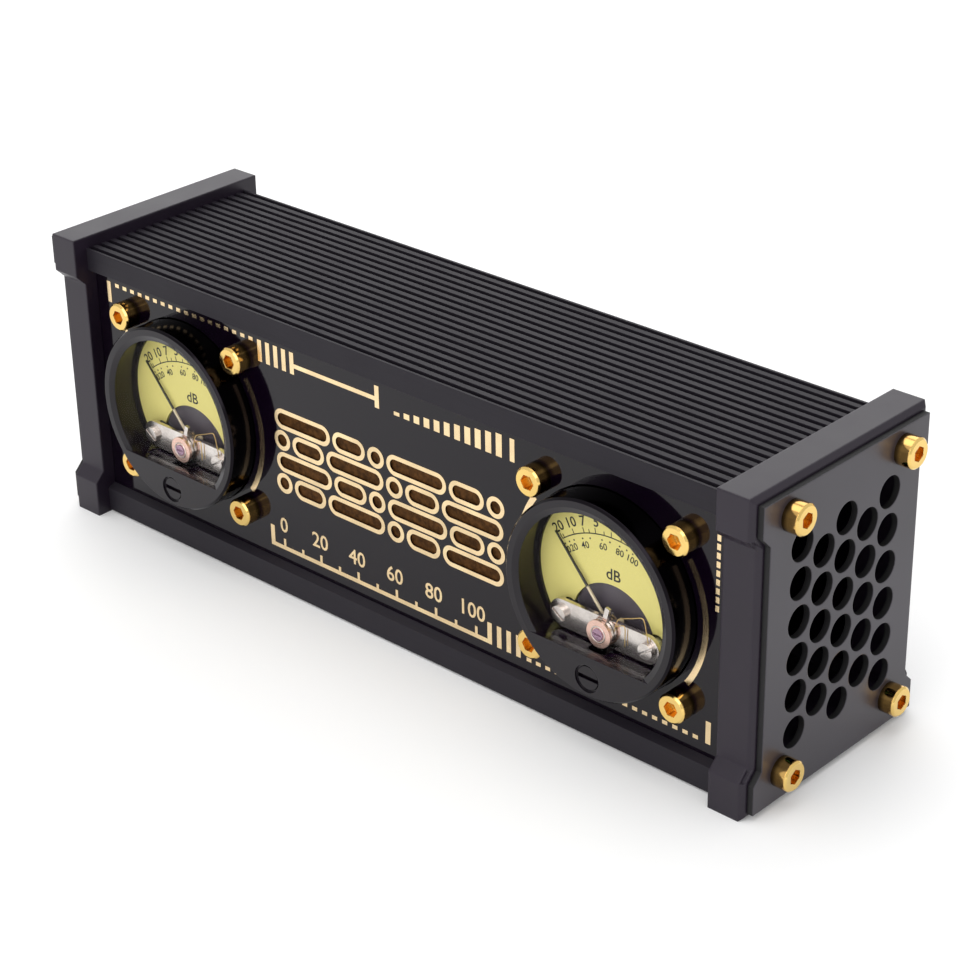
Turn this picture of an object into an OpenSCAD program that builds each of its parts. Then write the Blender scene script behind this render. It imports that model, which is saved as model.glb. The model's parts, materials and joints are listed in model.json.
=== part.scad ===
// Desktop stereo level meter: two round moving-coil meters behind a dark panel,
// held in a ribbed aluminium case with perforated end plates.
// The case runs along X, the meters look along -Y and the feet stand on Z = 0.
// The origin is the middle of the case's footprint.

/* [Case] */
// Length over the outer faces of the two end frames
case_length = 168; // [150:1:220]
// Depth of the end frames, front to rear
case_depth = 46.8; // [46:0.2:60]
// Height of the end frames
case_height = 58.7; // [57:0.1:72]
// Thickness of each end frame
frame_t = 7; // [5:0.5:10]
// How far the frame's columns stand back from its head and foot
column_recess = 2; // [1:0.1:2.6]
// Height of the frame's wide head, above the slope
head_h = 7.4; // [6:0.1:8.4]
// Height of the frame's wide foot, below the slope
foot_h = 7.2; // [4:0.1:9]
// Bevel along the outer edges of the frame
frame_bevel = 0.8; // [0.3:0.1:1.2]
// Half width of the window through the frame
window_half = 15.6; // [15:0.1:16.4]
// Height of the window's sill
window_sill = 9.3; // [9:0.1:9.4]
// Distance from the frame's top down to the window
window_drop = 8.7; // [8.2:0.1:8.9]

/* [Extrusions] */
// How far the extrusions stand back from the frame's front and rear
rail_setback = 2.95; // [2.2:0.05:3.4]
// How far the top extrusion lies below the frame's top
rail_drop = 2.3; // [1.2:0.1:2.6]
// Gap below the bottom extrusion
rail_lift = 0.4; // [0.2:0.1:1]
// Thickness of the ribbed deck, ribs included
deck_t = 2.6; // [2.4:0.1:3.2]
// Thickness of the bottom extrusion's floor
floor_t = 2.2; // [1.6:0.1:2.6]
// Height of the lip that hangs in front of the panel
lip_drop = 4.4; // [3.6:0.1:5.4]
// Height of the bottom extrusion's front face
sill_h = 4.8; // [4:0.1:5.4]
// Rise of the slope from that face to the panel
sill_slope = 0.75; // [0.4:0.05:1.2]
// Thickness of the lips in front of the panel
lip_t = 1.64; // [1.2:0.02:2]
// Distance from one groove to the next
groove_pitch = 2.16; // [1.8:0.02:2.8]
// Width of a groove
groove_w = 1.05; // [0.6:0.05:1.3]
// Depth of a groove
groove_d = 1.1; // [0.6:0.05:1.2]
// Half width of the block round each screw port
port_half = 2.06; // [1.9:0.01:2.2]

/* [End plates] */
// Thickness of the perforated end plate
plate_t = 1.2; // [0.8:0.1:2]
// How far the plate's edge stands in from the frame's outline
plate_inset = 1.3; // [0.8:0.1:2]
// Radius of the vent holes
vent_r = 2.9; // [2:0.02:3]
// Distance between vent columns
vent_dy = 5.9; // [5.8:0.05:6.2]
// Distance between holes in one vent column
vent_dz = 6.9; // [6.4:0.05:7]
// Number of vent columns
vent_columns = 5; // [3:1:5]
// Holes in the longest vent column
vent_rows = 6; // [3:1:6]
// Distance from the frame's top to the upper end screws
end_screw_drop = 5.2; // [5.2:0.1:5.5]
// Height of the lower end screws
end_screw_rise = 6.6; // [6.2:0.1:6.8]

/* [Panels] */
// Thickness of the front and rear panels
panel_t = 1.6; // [1:0.1:2]
// How far the meters' centre line lies above the panel's middle
meter_rise = 1.1; // [0:0.1:2]
// Clear distance from a meter's round front to the end frame
meter_gap = 6.75; // [5:0.05:10]
// Gap between a meter's round front and the heads of its screws
screw_gap = 1.04; // [0.9:0.02:2]
// Length of a long slot's border
slot_long = 14.45; // [10:0.05:14.6]
// Length of a middle slot's border
slot_middle = 8.2; // [6:0.05:8.6]
// Height of every slot's border
slot_h = 4.1; // [3:0.05:4.2]
// Width of the border round a slot
slot_border = 0.85; // [0.4:0.05:1]
// Gap between two slots of a row
slot_gap = 0.65; // [0.3:0.05:0.8]
// Distance between slot rows
slot_pitch = 4.43; // [4.3:0.01:4.8]
// Distance from the meters' centre line down to the lowest slot row
slot_drop = 6.95; // [5.5:0.05:8]
// How far the bare slot floors lie below the panel's face
slot_depth = 0.25; // [0.1:0.05:0.6]
// Thickness of the raised gold tracks
track_t = 0.06; // [0.04:0.01:0.2]

/* [Meters] */
// Outer radius of the meter's round front
bezel_r = 18.2; // [17:0.1:18.6]
// How far the meter stands out of the panel
bezel_stand = 5.84; // [5.5:0.02:7]
// Width of the bezel's flat front ring
bezel_ring = 1.4; // [1:0.1:1.8]
// Depth from the bezel's front back to the dial's face
dial_depth = 6.85; // [6.4:0.05:7]
// Distance from the zero screw's axis up to the flat ledge
ledge_rise = 4.27; // [3.6:0.01:4.8]
// Thickness of the clear window
window_t = 1.1; // [0.6:0.1:1.4]
// Thickness of the dial plate
dial_t = 0.5; // [0.3:0.1:0.8]
// Depth of the meter's rear can behind the panel
can_depth = 16; // [15:0.5:17]
// Wall of the rear can
can_wall = 1.6; // [1.2:0.1:2]

/* [Movement] */
// Gap between the iron yoke and the can's wall
yoke_gap = 0.43; // [0.3:0.01:0.7]
// How much longer the needle is than the bezel's inner radius
needle_reach = 2.5; // [0:0.1:3]
// Angle of the needle at rest, left of upright
needle_rest = 41; // [38:1:44]
// Radius of the pivot pin
pivot_r = 0.3; // [0.2:0.05:0.4]
// Radius of the magnet core
core_r = 4.4; // [4:0.1:4.5]
// Half width of the coil
coil_half = 5.4; // [5.3:0.05:5.5]
// Thickness of the coil's winding
coil_t = 0.5; // [0.3:0.05:0.5]
// Outer radius of the iron yoke
yoke_r = 7.6; // [7:0.1:7.7]
// Half distance between the two pillars that carry the bridge
pillar_x = 9.4; // [9.3:0.1:9.8]
// Radius of the hub disc in front of the bridge
hub_r = 2.55; // [2:0.05:2.8]
// Distance from the pivot down to the zero screw
zero_drop = 7.3; // [7.1:0.05:7.5]
// Radius of the zero screw's slotted head
zero_r = 2.2; // [1.8:0.05:2.4]
// Offset of the zero screw's pin from its axis
zero_throw = 0.8; // [0.5:0.05:0.9]

/* [Rear sockets] */
// Distance of the audio socket from the case's middle
audio_x = 14; // [10:1:24]
// Distance of the power inlet from the case's middle
inlet_x = 34; // [30:1:40]
// Distance of the level knob from the case's middle
knob_x = 14; // [11:1:24]
// Distance of the push button from the case's middle
button_x = 34; // [30:1:40]
// Radius of the level knob
knob_r = 7; // [5:0.5:9]
// Travel of the push button
button_travel = 1; // [0.5:0.1:1.2]

/* [Screws] */
// Radius of the socket screws' heads
head_r = 2.75; // [2.4:0.05:2.8]
// Height of the socket screws' heads
head_l = 3; // [2.5:0.1:3.4]
// Radius of the screws' threads
thread_r = 1.45; // [1.3:0.05:1.45]
// Width across the flats of the hexagon sockets
hex_w = 2.5; // [2:0.1:2.7]

/* [Hidden] */

$fn = 96;
fit_gap = 0.05;          // play between a pin or thread and its hole
seat_gap = 0.1;          // play of a panel in its slot
cut = 1;                 // how far a cutting shape runs past what it cuts
screw_hole_r = thread_r + 0.2;
port_r = thread_r + fit_gap;

// Distances forward of the case's middle plane are called fronts.
rail_front = case_depth / 2 - rail_setback;
panel_face = rail_front - lip_t - fit_gap;
panel_back = panel_face - panel_t;
bezel_front = panel_face + bezel_stand;
dial_face = bezel_front - dial_depth;
dial_back = dial_face - dial_t;
can_back = panel_back - can_depth;

rail_length = case_length - 2 * frame_t;
panel_length = rail_length - 2 * seat_gap;
rail_top = case_height - rail_drop;
deck_under = rail_top - deck_t;
floor_top = rail_lift + floor_t;
slot_floor = floor_top + 0.6;
panel_z0 = slot_floor + seat_gap;
panel_z1 = deck_under - seat_gap;
top_screw_z = case_height - end_screw_drop;
end_screw_y = panel_back - seat_gap - port_half;

meter_z = (panel_z0 + panel_z1) / 2 + meter_rise;
meter_x = rail_length / 2 - meter_gap - bezel_r;
screw_square = (bezel_r + head_r + screw_gap) * sqrt(2);
panel_hole_r = bezel_r + 0.2;
field_half = meter_x - bezel_r;      // half the width between the two meters

module facing() {
    // Turns a drawing in X and height so that its thickness runs forward, to -Y
    rotate([90, 0, 0]) children();
}

module sideways() {
    // Turns a drawing in depth and height so that its thickness runs along X
    rotate([90, 0, 90]) children();
}

module plate(front, thick) {
    // A flat shape whose front face lies at the given front
    facing() translate([0, 0, front - thick]) linear_extrude(thick) children();
}

module disc(r, front, thick, x = 0, z = 0) {
    facing() translate([x, z, front - thick]) cylinder(r = r, h = thick);
}

module at_meter(side) {
    translate([side * meter_x, 0, meter_z]) children();
}

module at_pivot(side) {
    at_meter(side) translate([0, 0, -pivot_drop]) children();
}

module pill(length, height) {
    // A bar with round ends, or a circle when its length is its height
    if (length > height) square([length - height, height], center = true);
    for (s = [-1, 1]) translate([s * (length - height) / 2, 0]) circle(d = height);
}

module socket_screw(length) {
    // Hexagon socket screw along +Z: the head stands on Z = 0 and the thread hangs below
    edge = 0.35;
    socket_depth = head_l * 0.6;
    difference() {
        rotate_extrude() polygon([
            [0, -length], [thread_r - edge, -length], [thread_r, -length + edge], [thread_r, 0],
            [head_r, 0], [head_r, head_l - edge], [head_r - edge, head_l], [0, head_l]
        ]);
        translate([0, 0, head_l - socket_depth])
            cylinder(d = hex_w / cos(30), h = socket_depth + cut, $fn = 6);
    }
}

module flat_screw(r, head, thread, length, slot_w) {
    // Slotted cheese-head screw along +Z, standing on Z = 0
    difference() {
        union() {
            cylinder(r = r, h = head);
            translate([0, 0, -length]) cylinder(r = thread, h = length + head / 2);
        }
        translate([0, 0, head]) cube([3 * r, slot_w, head], center = true);
    }
}

// ---- Case ----

function outline(inset) =
    // The frame's outline: wide head and foot, slopes of 45 degrees, columns set back.
    // A 45 degree slope moves by tan(22.5) of the inset.
    let (h = case_depth / 2 - inset, c = h - column_recess, s = inset * tan(22.5))
    let (z0 = inset, z1 = foot_h - s, z2 = z1 + column_recess)
    let (z5 = case_height - inset, z4 = case_height - head_h + s, z3 = z4 - column_recess)
    [
        [-h, z0], [h, z0], [h, z1], [c, z2], [c, z3], [h, z4],
        [h, z5], [-h, z5], [-h, z4], [-c, z3], [-c, z2], [-h, z1]
    ];

module bevel_box(half_depth, z0, z1) {
    // A slab of the frame's thickness whose outer edges have the bevel
    b = frame_bevel;
    intersection() {
        translate([0, -half_depth, z0]) cube([frame_t, 2 * half_depth, z1 - z0]);
        linear_extrude(3 * case_height, center = true) polygon([
            [0, -half_depth], [frame_t - b, -half_depth], [frame_t, b - half_depth],
            [frame_t, half_depth - b], [frame_t - b, half_depth], [0, half_depth]
        ]);
        rotate([90, 0, 0]) linear_extrude(3 * case_depth, center = true) polygon([
            [0, 0], [frame_t - b, 0], [frame_t, b],
            [frame_t, case_height - b], [frame_t - b, case_height], [0, case_height]
        ]);
    }
}

module frame_slopes(z_wide, z_narrow) {
    // The 45 degree slope between a wide block and the columns
    h = case_depth / 2;
    c = h - column_recess;
    sideways() linear_extrude(frame_t - frame_bevel)
        polygon([[-h, z_wide], [h, z_wide], [c, z_narrow], [-c, z_narrow]]);
    sideways() linear_extrude(frame_t) polygon([
        [frame_bevel - h, z_wide], [h - frame_bevel, z_wide],
        [c - frame_bevel, z_narrow], [frame_bevel - c, z_narrow]
    ]);
}

module end_frame() {
    // Stands with its inner face on X = 0 and its outer face at X = frame_t
    h = case_depth / 2;
    head_z = case_height - head_h;
    difference() {
        union() {
            bevel_box(h - column_recess, 0, case_height);
            bevel_box(h, 0, foot_h);
            bevel_box(h, head_z, case_height);
            frame_slopes(foot_h, foot_h + column_recess);
            frame_slopes(head_z, head_z - column_recess);
        }
        translate([-cut, -window_half, window_sill])
            cube([frame_t + 2 * cut, 2 * window_half, case_height - window_drop - window_sill]);
        end_screw_spots() translate([0, 0, -cut]) cylinder(r = screw_hole_r, h = frame_t + 2 * cut);
    }
}

module end_screw_spots() {
    // Turns each end screw's place so that +Z points out of the case's end
    for (y = [-1, 1], z = [end_screw_rise, top_screw_z])
        translate([0, y * end_screw_y, z]) rotate([0, 90, 0]) children();
}

module end_plate() {
    // Stands with its inner face on X = 0
    middle = (vent_columns - 1) / 2;
    vent_z = (window_sill + case_height - window_drop) / 2;
    difference() {
        sideways() linear_extrude(plate_t) polygon(outline(plate_inset));
        for (column = [0 : vent_columns - 1]) {
            holes = vent_rows - column % 2;
            for (row = [0 : holes - 1])
                translate([-cut, (column - middle) * vent_dy, vent_z + (row - (holes - 1) / 2) * vent_dz])
                    rotate([0, 90, 0]) cylinder(r = vent_r, h = plate_t + 2 * cut);
        }
        end_screw_spots() translate([0, 0, -cut]) cylinder(r = screw_hole_r, h = plate_t + 2 * cut);
    }
}

module end_screws() {
    // Stand with their heads' seats on X = 0
    grip = 8;
    end_screw_spots() socket_screw(plate_t + frame_t + grip);
}

module at_end(side, x) {
    // Puts a piece drawn for the right end at either end
    if (side > 0) translate([x, 0, 0]) children();
    else mirror([1, 0, 0]) translate([x, 0, 0]) children();
}

// The profiles of the extrusions are drawn in depth and height, one half of each.

module top_half_profile() {
    port_in = end_screw_y - port_half;
    difference() {
        union() {
            translate([0, deck_under]) square([rail_front, deck_t]);
            translate([panel_face + fit_gap, rail_top - lip_drop])
                square([lip_t, lip_drop]);
            translate([port_in, top_screw_z - port_half])
                square([panel_back - seat_gap - port_in, deck_under - top_screw_z + port_half + fit_gap]);
        }
        translate([end_screw_y, top_screw_z]) circle(r = port_r);
    }
}

module top_extrusion() {
    count = floor((rail_front - groove_w / 2) / groove_pitch);
    color("#2b2a2e") difference() {
        translate([-rail_length / 2, 0, 0]) sideways() linear_extrude(rail_length) union() {
            top_half_profile();
            mirror([1, 0]) top_half_profile();
        }
        for (i = [-count : count])
            translate([-rail_length / 2 - cut, i * groove_pitch - groove_w / 2, rail_top - groove_d])
                cube([rail_length + 2 * cut, groove_w, groove_d + cut]);
    }
}

module bottom_half_profile() {
    port_in = end_screw_y - port_half;
    sill_z = rail_lift + sill_h;
    difference() {
        union() {
            translate([0, rail_lift]) square([rail_front, floor_t]);
            polygon([
                [rail_front, rail_lift], [rail_front, sill_z],
                [panel_face + fit_gap, sill_z + sill_slope], [panel_face + fit_gap, rail_lift]
            ]);
            translate([port_in, floor_top - fit_gap])
                square([panel_face + cut - port_in, slot_floor - floor_top + fit_gap]);
            translate([port_in, floor_top - fit_gap]) square([
                panel_back - seat_gap - port_in, end_screw_rise + port_half - floor_top + fit_gap
            ]);
        }
        translate([end_screw_y, end_screw_rise]) circle(r = port_r);
    }
}

module bottom_extrusion() {
    color("#2b2a2e") translate([-rail_length / 2, 0, 0]) sideways() linear_extrude(rail_length) union() {
        bottom_half_profile();
        mirror([1, 0]) bottom_half_profile();
    }
}

module left_end_frame() { color("#29282c") at_end(-1, rail_length / 2) end_frame(); }
module right_end_frame() { color("#29282c") at_end(1, rail_length / 2) end_frame(); }
module left_end_plate() { color("#343338") at_end(-1, case_length / 2) end_plate(); }
module right_end_plate() { color("#343338") at_end(1, case_length / 2) end_plate(); }
module left_end_screws() { color("#e3ab45") at_end(-1, case_length / 2 + plate_t) end_screws(); }
module right_end_screws() { color("#e3ab45") at_end(1, case_length / 2 + plate_t) end_screws(); }

// ---- Front panel ----

slot_period = slot_long + slot_middle + slot_h + 3 * slot_gap;
slot_half = slot_period - slot_gap / 2;
slot_count = 4;
slot_z = meter_z - slot_drop;
slot_margin = 4;         // least distance between a slot and a meter
row_shift = 0.3;         // the upper row of each pair lies a little to the right

function slot_lengths() = [slot_long, slot_middle, slot_h];

function slot_start(k) =
    // Left end of slot k of a row, from the row's left end
    floor(k / 3) * slot_period + (k % 3 > 0 ? slot_long + slot_gap : 0)
        + (k % 3 > 1 ? slot_middle + slot_gap : 0);

module slot_field() {
    // Calls the child shape for every slot that fits between the meters: rows alternate between the
    // pattern and its mirror image. $length is the slot border's length.
    for (row = [0 : slot_count - 1], k = [0 : 5]) {
        flip = row % 2 > 0 ? 1 : -1;
        $length = slot_lengths()[k % 3];
        x = slot_start(k) + $length / 2 - slot_half;
        if (abs(x) + $length / 2 < field_half - slot_margin)
            translate([flip * x + (flip > 0 ? row_shift : 0), slot_z + row * slot_pitch]) children();
    }
}

module slot_floor_shape() {
    pill($length - 2 * slot_border, slot_h - 2 * slot_border);
}

module meter_screw_spots() {
    for (side = [-1, 1], x = [-1, 1], z = [-1, 1])
        translate([side * meter_x + x * screw_square / 2, meter_z + z * screw_square / 2]) children();
}

module panel_blank() {
    translate([-panel_length / 2, panel_z0]) square([panel_length, panel_z1 - panel_z0]);
}

module front_panel() {
    color("#1d1b1f") difference() {
        plate(panel_face, panel_t) difference() {
            panel_blank();
            for (side = [-1, 1]) translate([side * meter_x, meter_z]) circle(r = panel_hole_r);
            meter_screw_spots() circle(r = screw_hole_r);
        }
        plate(panel_face + cut, slot_depth + cut) slot_field() slot_floor_shape();
    }
}

bar_w = 1.05;            // width of an upright bar of the track pattern
bar_h = 4.3;             // height of an upright bar
dash_l = 1.1;            // length of a dash
dash_w = 0.75;           // width of a dash
tick_pitch = 2.1;        // distance between ticks and between dashes
line_w = 0.85;           // width of a drawn line
arc_gap = 1.9;           // distance from a meter's round front to the arcs beside it
arc_r = bezel_r + arc_gap;
arc_w = 1.1;             // width of those arcs
arc_half = 35;           // half the angle of an arc
end_bar_gap = 3.8;       // distance of the outermost bars from the end frame
end_bar_x = rail_length / 2 - end_bar_gap;
edge_dash_gap = 2.7;     // distance of the upright dashes from the end frame
edge_dashes = 9;         // number of upright dashes beside the right meter
edge_pitch = 1.6;        // distance between upright dashes
upper_gap = 1.75;        // gap between the lip and the upper band
upper_z = rail_top - lip_drop - upper_gap - bar_h / 2;
lower_gap = 2.4;         // gap between the sill and the lower band
lower_z = rail_lift + sill_h + sill_slope + lower_gap + bar_h / 2;
cut_in = 0.2;            // how far a small tick runs into the line that carries it
long_tick = 1.5;         // length of every other small tick
short_tick = 0.9;        // length of the ticks between
tick_w = 0.6;            // width of a small tick
rung_w = 1.35;           // width of a ladder bar
line_end = 1.2;          // distance of the upper line's end from the middle
ladder_start = 3.6;      // distance of the first ladder bar from the middle

module upright(x, h = bar_h) {
    translate([x, 0]) square([bar_w, h], center = true);
}

module dash_row(x0, x1, count) {
    // Dashes spread evenly from x0 to x1
    step = (x1 - x0) / (count - 1);
    for (i = [0 : count - 1]) translate([x0 + i * step, 0]) square([dash_l, dash_w], center = true);
}

module upper_band() {
    // Dashes over the left meter, ticks, a line with cross bars and a ladder of rising bars
    line_gap = 11.15;        // distance of the line's start from the left meter
    ladder_gap = 6.25;       // distance of the last rung from the right meter
    last_bar_gap = 3.25;     // distance of the last bar from the right meter
    ticks = 5;
    dashes = 18;
    dash_half = bezel_r + 0.5;
    rungs = 11;
    line_x0 = line_gap - field_half;
    ladder_l = field_half - ladder_gap - ladder_start;
    upright(-end_bar_x);
    translate([-meter_x, (bar_h - dash_w) / 2]) dash_row(-dash_half, dash_half, dashes);
    for (i = [0 : ticks - 1]) upright(line_x0 - i * tick_pitch);
    upright(-line_end);
    translate([line_x0, -line_w]) square([-line_end - line_x0, line_w]);
    for (i = [0 : rungs - 1])
        translate([ladder_start + i * ladder_l / (rungs - 1) - rung_w / 2, -bar_h / 2])
            square([rung_w, bar_h * (i + 2) / (rungs + 1)]);
    upright(field_half - last_bar_gap);
}

module lower_band() {
    // A long scale line with small ticks, then bars and the dashes under the right meter
    left_gap = 3.45;         // distance of the line's start from the left meter
    right_gap = 9.05;        // distance of its end from the right meter
    bars = 4;
    bar_pitch = 1.07 * tick_pitch;
    dashes = 18;
    line_x0 = left_gap - field_half;
    line_x1 = field_half - right_gap;
    scale_ticks = 11;
    scale_margin = 3.2;
    scale_step = (line_x1 - line_x0 - 2 * scale_margin) / (scale_ticks - 1);
    upright(line_x0);
    translate([line_x0, -bar_h / 2]) square([line_x1 - line_x0, line_w]);
    for (i = [0 : scale_ticks - 1])
        translate([line_x0 + scale_margin + i * scale_step - tick_w / 2, line_w - bar_h / 2 - cut_in])
            square([tick_w, cut_in + (i % 2 > 0 ? short_tick : long_tick)]);
    for (i = [0 : bars - 1]) upright(line_x1 + i * bar_pitch);
    translate([meter_x, (dash_w - bar_h) / 2]) dash_row(0.15 - bezel_r, bezel_r + 0.35, dashes);
    upright(end_bar_x);
}

module panel_tracks() {
    color("#d9a75a") plate(panel_face + track_t, track_t) difference() {
        union() {
            slot_field() difference() {
                pill($length, slot_h);
                slot_floor_shape();
            }
            translate([0, upper_z]) upper_band();
            translate([0, lower_z]) lower_band();
            for (i = [0 : edge_dashes - 1])
                translate([rail_length / 2 - edge_dash_gap, upper_z - 1 - i * edge_pitch])
                    square([dash_w, dash_l], center = true);
            for (side = [-1, 1]) translate([side * meter_x, meter_z]) for (turn = [0, 180])
                rotate(turn - arc_half) arc_band(arc_r, arc_w, 2 * arc_half);
        }
        for (side = [-1, 1]) translate([side * meter_x, meter_z]) circle(r = panel_hole_r);
        meter_screw_spots() circle(r = head_r + seat_gap);
    }
}

module arc_band(r, w, angle) {
    // Flat ring segment from the X axis through the given angle
    intersection() {
        difference() {
            circle(r = r + w / 2);
            circle(r = r - w / 2);
        }
        polygon([[0, 0], [2 * r, 0], 2 * r * [1, tan(angle / 2)], 2 * r * [cos(angle), sin(angle)]]);
    }
}

// ---- Rear panel and electronics ----

socket_z = meter_z;
button_r = 3;
button_face = 3;         // how far the released button stands out of the panel
stem_r = 1.8;
bush_r = 3.4;
nut_r = 4.6;
nut_t = 1.6;
inlet_w = 9;
inlet_h = 3.3;
inlet_wall = 0.35;
inlet_l = 7.4;
jack_hole_r = 1.8;
jack_bush_r = 3;
board_t = 1.6;
board_face = can_back;
board_back = board_face - board_t;
rear_face = -panel_face;
rear_inner = -panel_back;
rear_room = board_back - rear_inner;
standoff_r = 2.4;
board_edge = 2.75;       // how far the board reaches past its screws, up and down
board_end = 4;           // distance from the board's end to the end frame
chip = [5, 4, 1.5];
chip_x = 5.5;
chip_rise = 4;
cap_r = 3.15;
cap_l = 7;
cap_x = 24;
cap_pitch = 7.5;
cap_rise = 12;
plug = [12, 4, 5];
plug_drop = 12;
tongue = [6.6, 0.7];
jack_w = 10;
jack_nose = 2.4;
jack_clear = 4.72;       // room between the audio socket and the driver board
jack_floor = 2;          // wall behind the socket's bore

module rear_panel() {
    color("#1d1b1f") plate(rear_inner, panel_t) difference() {
        panel_blank();
        translate([audio_x, socket_z]) circle(r = jack_bush_r + 0.1);
        translate([inlet_x, socket_z]) pill(inlet_w + 0.2, inlet_h + 0.2);
        translate([-knob_x, socket_z]) circle(r = bush_r + 0.1);
        translate([-button_x, socket_z]) circle(r = button_r + 0.3);
    }
}

module meter_screws() {
    // Gold socket screws through the front panel into the standoffs
    grip = 6;
    color("#e3ab45") facing() translate([0, 0, panel_face]) meter_screw_spots() socket_screw(panel_t + grip);
}

module standoffs() {
    color("#b58c3a") plate(panel_back, can_depth) meter_screw_spots() difference() {
        circle(r = standoff_r);
        circle(r = port_r);
    }
}

module driver_board() {
    color("#24472f") plate(board_face, board_t) difference() {
        translate([0, meter_z])
            square([rail_length - 2 * board_end, screw_square + 2 * board_edge], center = true);
        meter_screw_spots() circle(r = screw_hole_r);
        for (side = [-1, 1], x = [-1, 1])
            translate([side * meter_x + x * terminal_x, meter_z + terminal_z]) circle(r = terminal_r + 0.2);
    }
}

module board_screws() {
    color("#b9b9bd") facing() translate([0, 0, board_back]) meter_screw_spots()
        mirror([0, 0, 1]) flat_screw(2.4, 1.6, thread_r, board_t + 5, 0.7);
}

module board_parts() {
    // Chips, capacitors and a connector that stand on the driver board's rear
    color("#2a2a30") facing() translate([0, meter_z, board_back]) mirror([0, 0, 1]) {
        for (side = [-1, 1]) {
            translate([side * chip_x, chip_rise, chip[2] / 2]) cube(chip, center = true);
            for (i = [0, 1])
                translate([side * (cap_x + i * cap_pitch), cap_rise, 0]) cylinder(r = cap_r, h = cap_l);
        }
        translate([0, -plug_drop, plug[2] / 2]) cube(plug, center = true);
    }
}

module power_inlet() {
    // A shell with round ends and a tongue inside, its mouth flush with the rear panel
    color("#c9c9cc") plate(rear_face + inlet_l, inlet_l) translate([inlet_x, socket_z]) difference() {
        pill(inlet_w, inlet_h);
        pill(inlet_w - 2 * inlet_wall, inlet_h - 2 * inlet_wall);
    }
    color("#c9c9cc") plate(rear_face + inlet_l, 1) translate([inlet_x, socket_z]) pill(inlet_w, inlet_h);
    color("#c9c9cc") plate(rear_face + inlet_l, inlet_l - 1) translate([inlet_x, socket_z])
        square(tongue, center = true);
}

module audio_socket() {
    // Body behind the panel, threaded bush through it and a ring nut outside
    body = rear_room - jack_clear;
    bore_l = jack_nose + panel_t + body - jack_floor;
    color("#3a3a3f") facing() translate([audio_x, socket_z, 0]) difference() {
        union() {
            translate([-jack_w / 2, -jack_w / 2, rear_inner]) cube([jack_w, jack_w, body]);
            translate([0, 0, rear_face - jack_nose]) cylinder(r = jack_bush_r, h = panel_t + jack_nose + cut);
            translate([0, 0, rear_face - nut_t]) cylinder(r = nut_r - 0.4, h = nut_t);
        }
        translate([0, 0, rear_face - jack_nose - cut]) cylinder(r = jack_hole_r, h = bore_l + cut);
    }
}

module level_pot() {
    body_r = 8;
    body = 8;
    nose = 3;
    color("#8d8d92") facing() translate([-knob_x, socket_z, 0]) difference() {
        union() {
            translate([0, 0, rear_inner]) cylinder(r = body_r, h = body);
            translate([0, 0, rear_face - nose]) cylinder(r = bush_r, h = panel_t + nose + cut);
            translate([0, 0, rear_face - nut_t]) cylinder(r = nut_r, h = nut_t, $fn = 6);
        }
        translate([0, 0, rear_face - nose - cut])
            cylinder(r = shaft_r + fit_gap, h = nose + panel_t + 6 + cut);
    }
}

shaft_r = 2;

module level_knob() {
    // A knurled cap over the pot's bush, turning with its shaft. It reaches as far to the rear as the
    // meters reach to the front.
    gap = 0.4;
    knob_front = -bezel_front;
    skirt = rear_face - gap - knob_front;
    flutes = 24;
    color("#232226") facing() translate([-knob_x, socket_z, 0]) {
        difference() {
            translate([0, 0, knob_front]) rotate_extrude() polygon([
                [0, 0], [knob_r - 0.9, 0], [knob_r - 0.2, 0.7], [knob_r, skirt], [0, skirt]
            ]);
            translate([0, 0, knob_front + 1.6]) cylinder(r = nut_r + 0.5, h = skirt);
            for (i = [0 : flutes - 1]) rotate(i * 360 / flutes)
                translate([knob_r + 0.25, 0, knob_front + 0.9]) cylinder(r = 0.5, h = skirt, $fn = 16);
            translate([0, knob_r - 2.4, knob_front]) cube([0.8, 3, 0.8], center = true);
        }
        translate([0, 0, knob_front + 1]) cylinder(r = shaft_r, h = rear_inner + 5 - knob_front - 1);
    }
}

module button_switch() {
    color("#55555b") facing() translate([-button_x, socket_z, 0]) difference() {
        translate([-4, -4, rear_inner]) cube([8, 8, 9]);
        translate([0, 0, rear_inner - cut]) cylinder(r = stem_r + 0.3, h = cut + 6);
    }
}

module push_button() {
    color("#232226") facing() translate([-button_x, socket_z, 0]) {
        translate([0, 0, rear_face - button_face]) rotate_extrude() polygon([
            [0, 0], [button_r - 0.4, 0], [button_r, 0.4],
            [button_r, button_face + panel_t - button_travel - 0.4],
            [0, button_face + panel_t - button_travel - 0.4]
        ]);
        translate([0, 0, rear_face]) cylinder(r = stem_r, h = panel_t + 6 - button_travel - 0.5);
    }
}

// ---- Meters ----

cavity_r = bezel_r - bezel_ring - 0.2;
lip_r = cavity_r - 1.1;
rim_r = cavity_r - 0.6;
neck_r = bezel_r - 0.35;     // radius behind the panel, which passes between the screw ports
flange_r = bezel_r + 1;
flange_flat = neck_r - 0.6;  // half height of the two flanges
flange_t = 1.5;
window_front = bezel_front - 0.7;
block_back = dial_face + 1.35;
spigot_r = cavity_r + 0.25;
can_r = bezel_r - 0.8;
can_inner_r = can_r - can_wall - 0.4;
needle_l = rim_r + needle_reach;
pivot_drop = can_inner_r - yoke_r - yoke_gap;
ledge_drop = pivot_drop + zero_drop - ledge_rise;
zero_z = -pivot_drop - zero_drop;
zero_wall = 2.2;         // thickness of the bezel's wall round the zero screw
zero_collar_r = zero_r + 0.4;
pocket_front = bezel_front - zero_wall;
bridge_front = dial_face + 2.45;
bridge_t = 0.8;
lever_t = 0.6;
lever_back = bridge_front + 0.1;
lever_front = lever_back + lever_t;
hub_back = lever_front + 0.1;
hub_t = 0.6;
collar_r = 1.25;
jewel_back = bridge_front - bridge_t - 0.2;
needle_back = dial_face + 0.5;
needle_t = 0.25;
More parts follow.
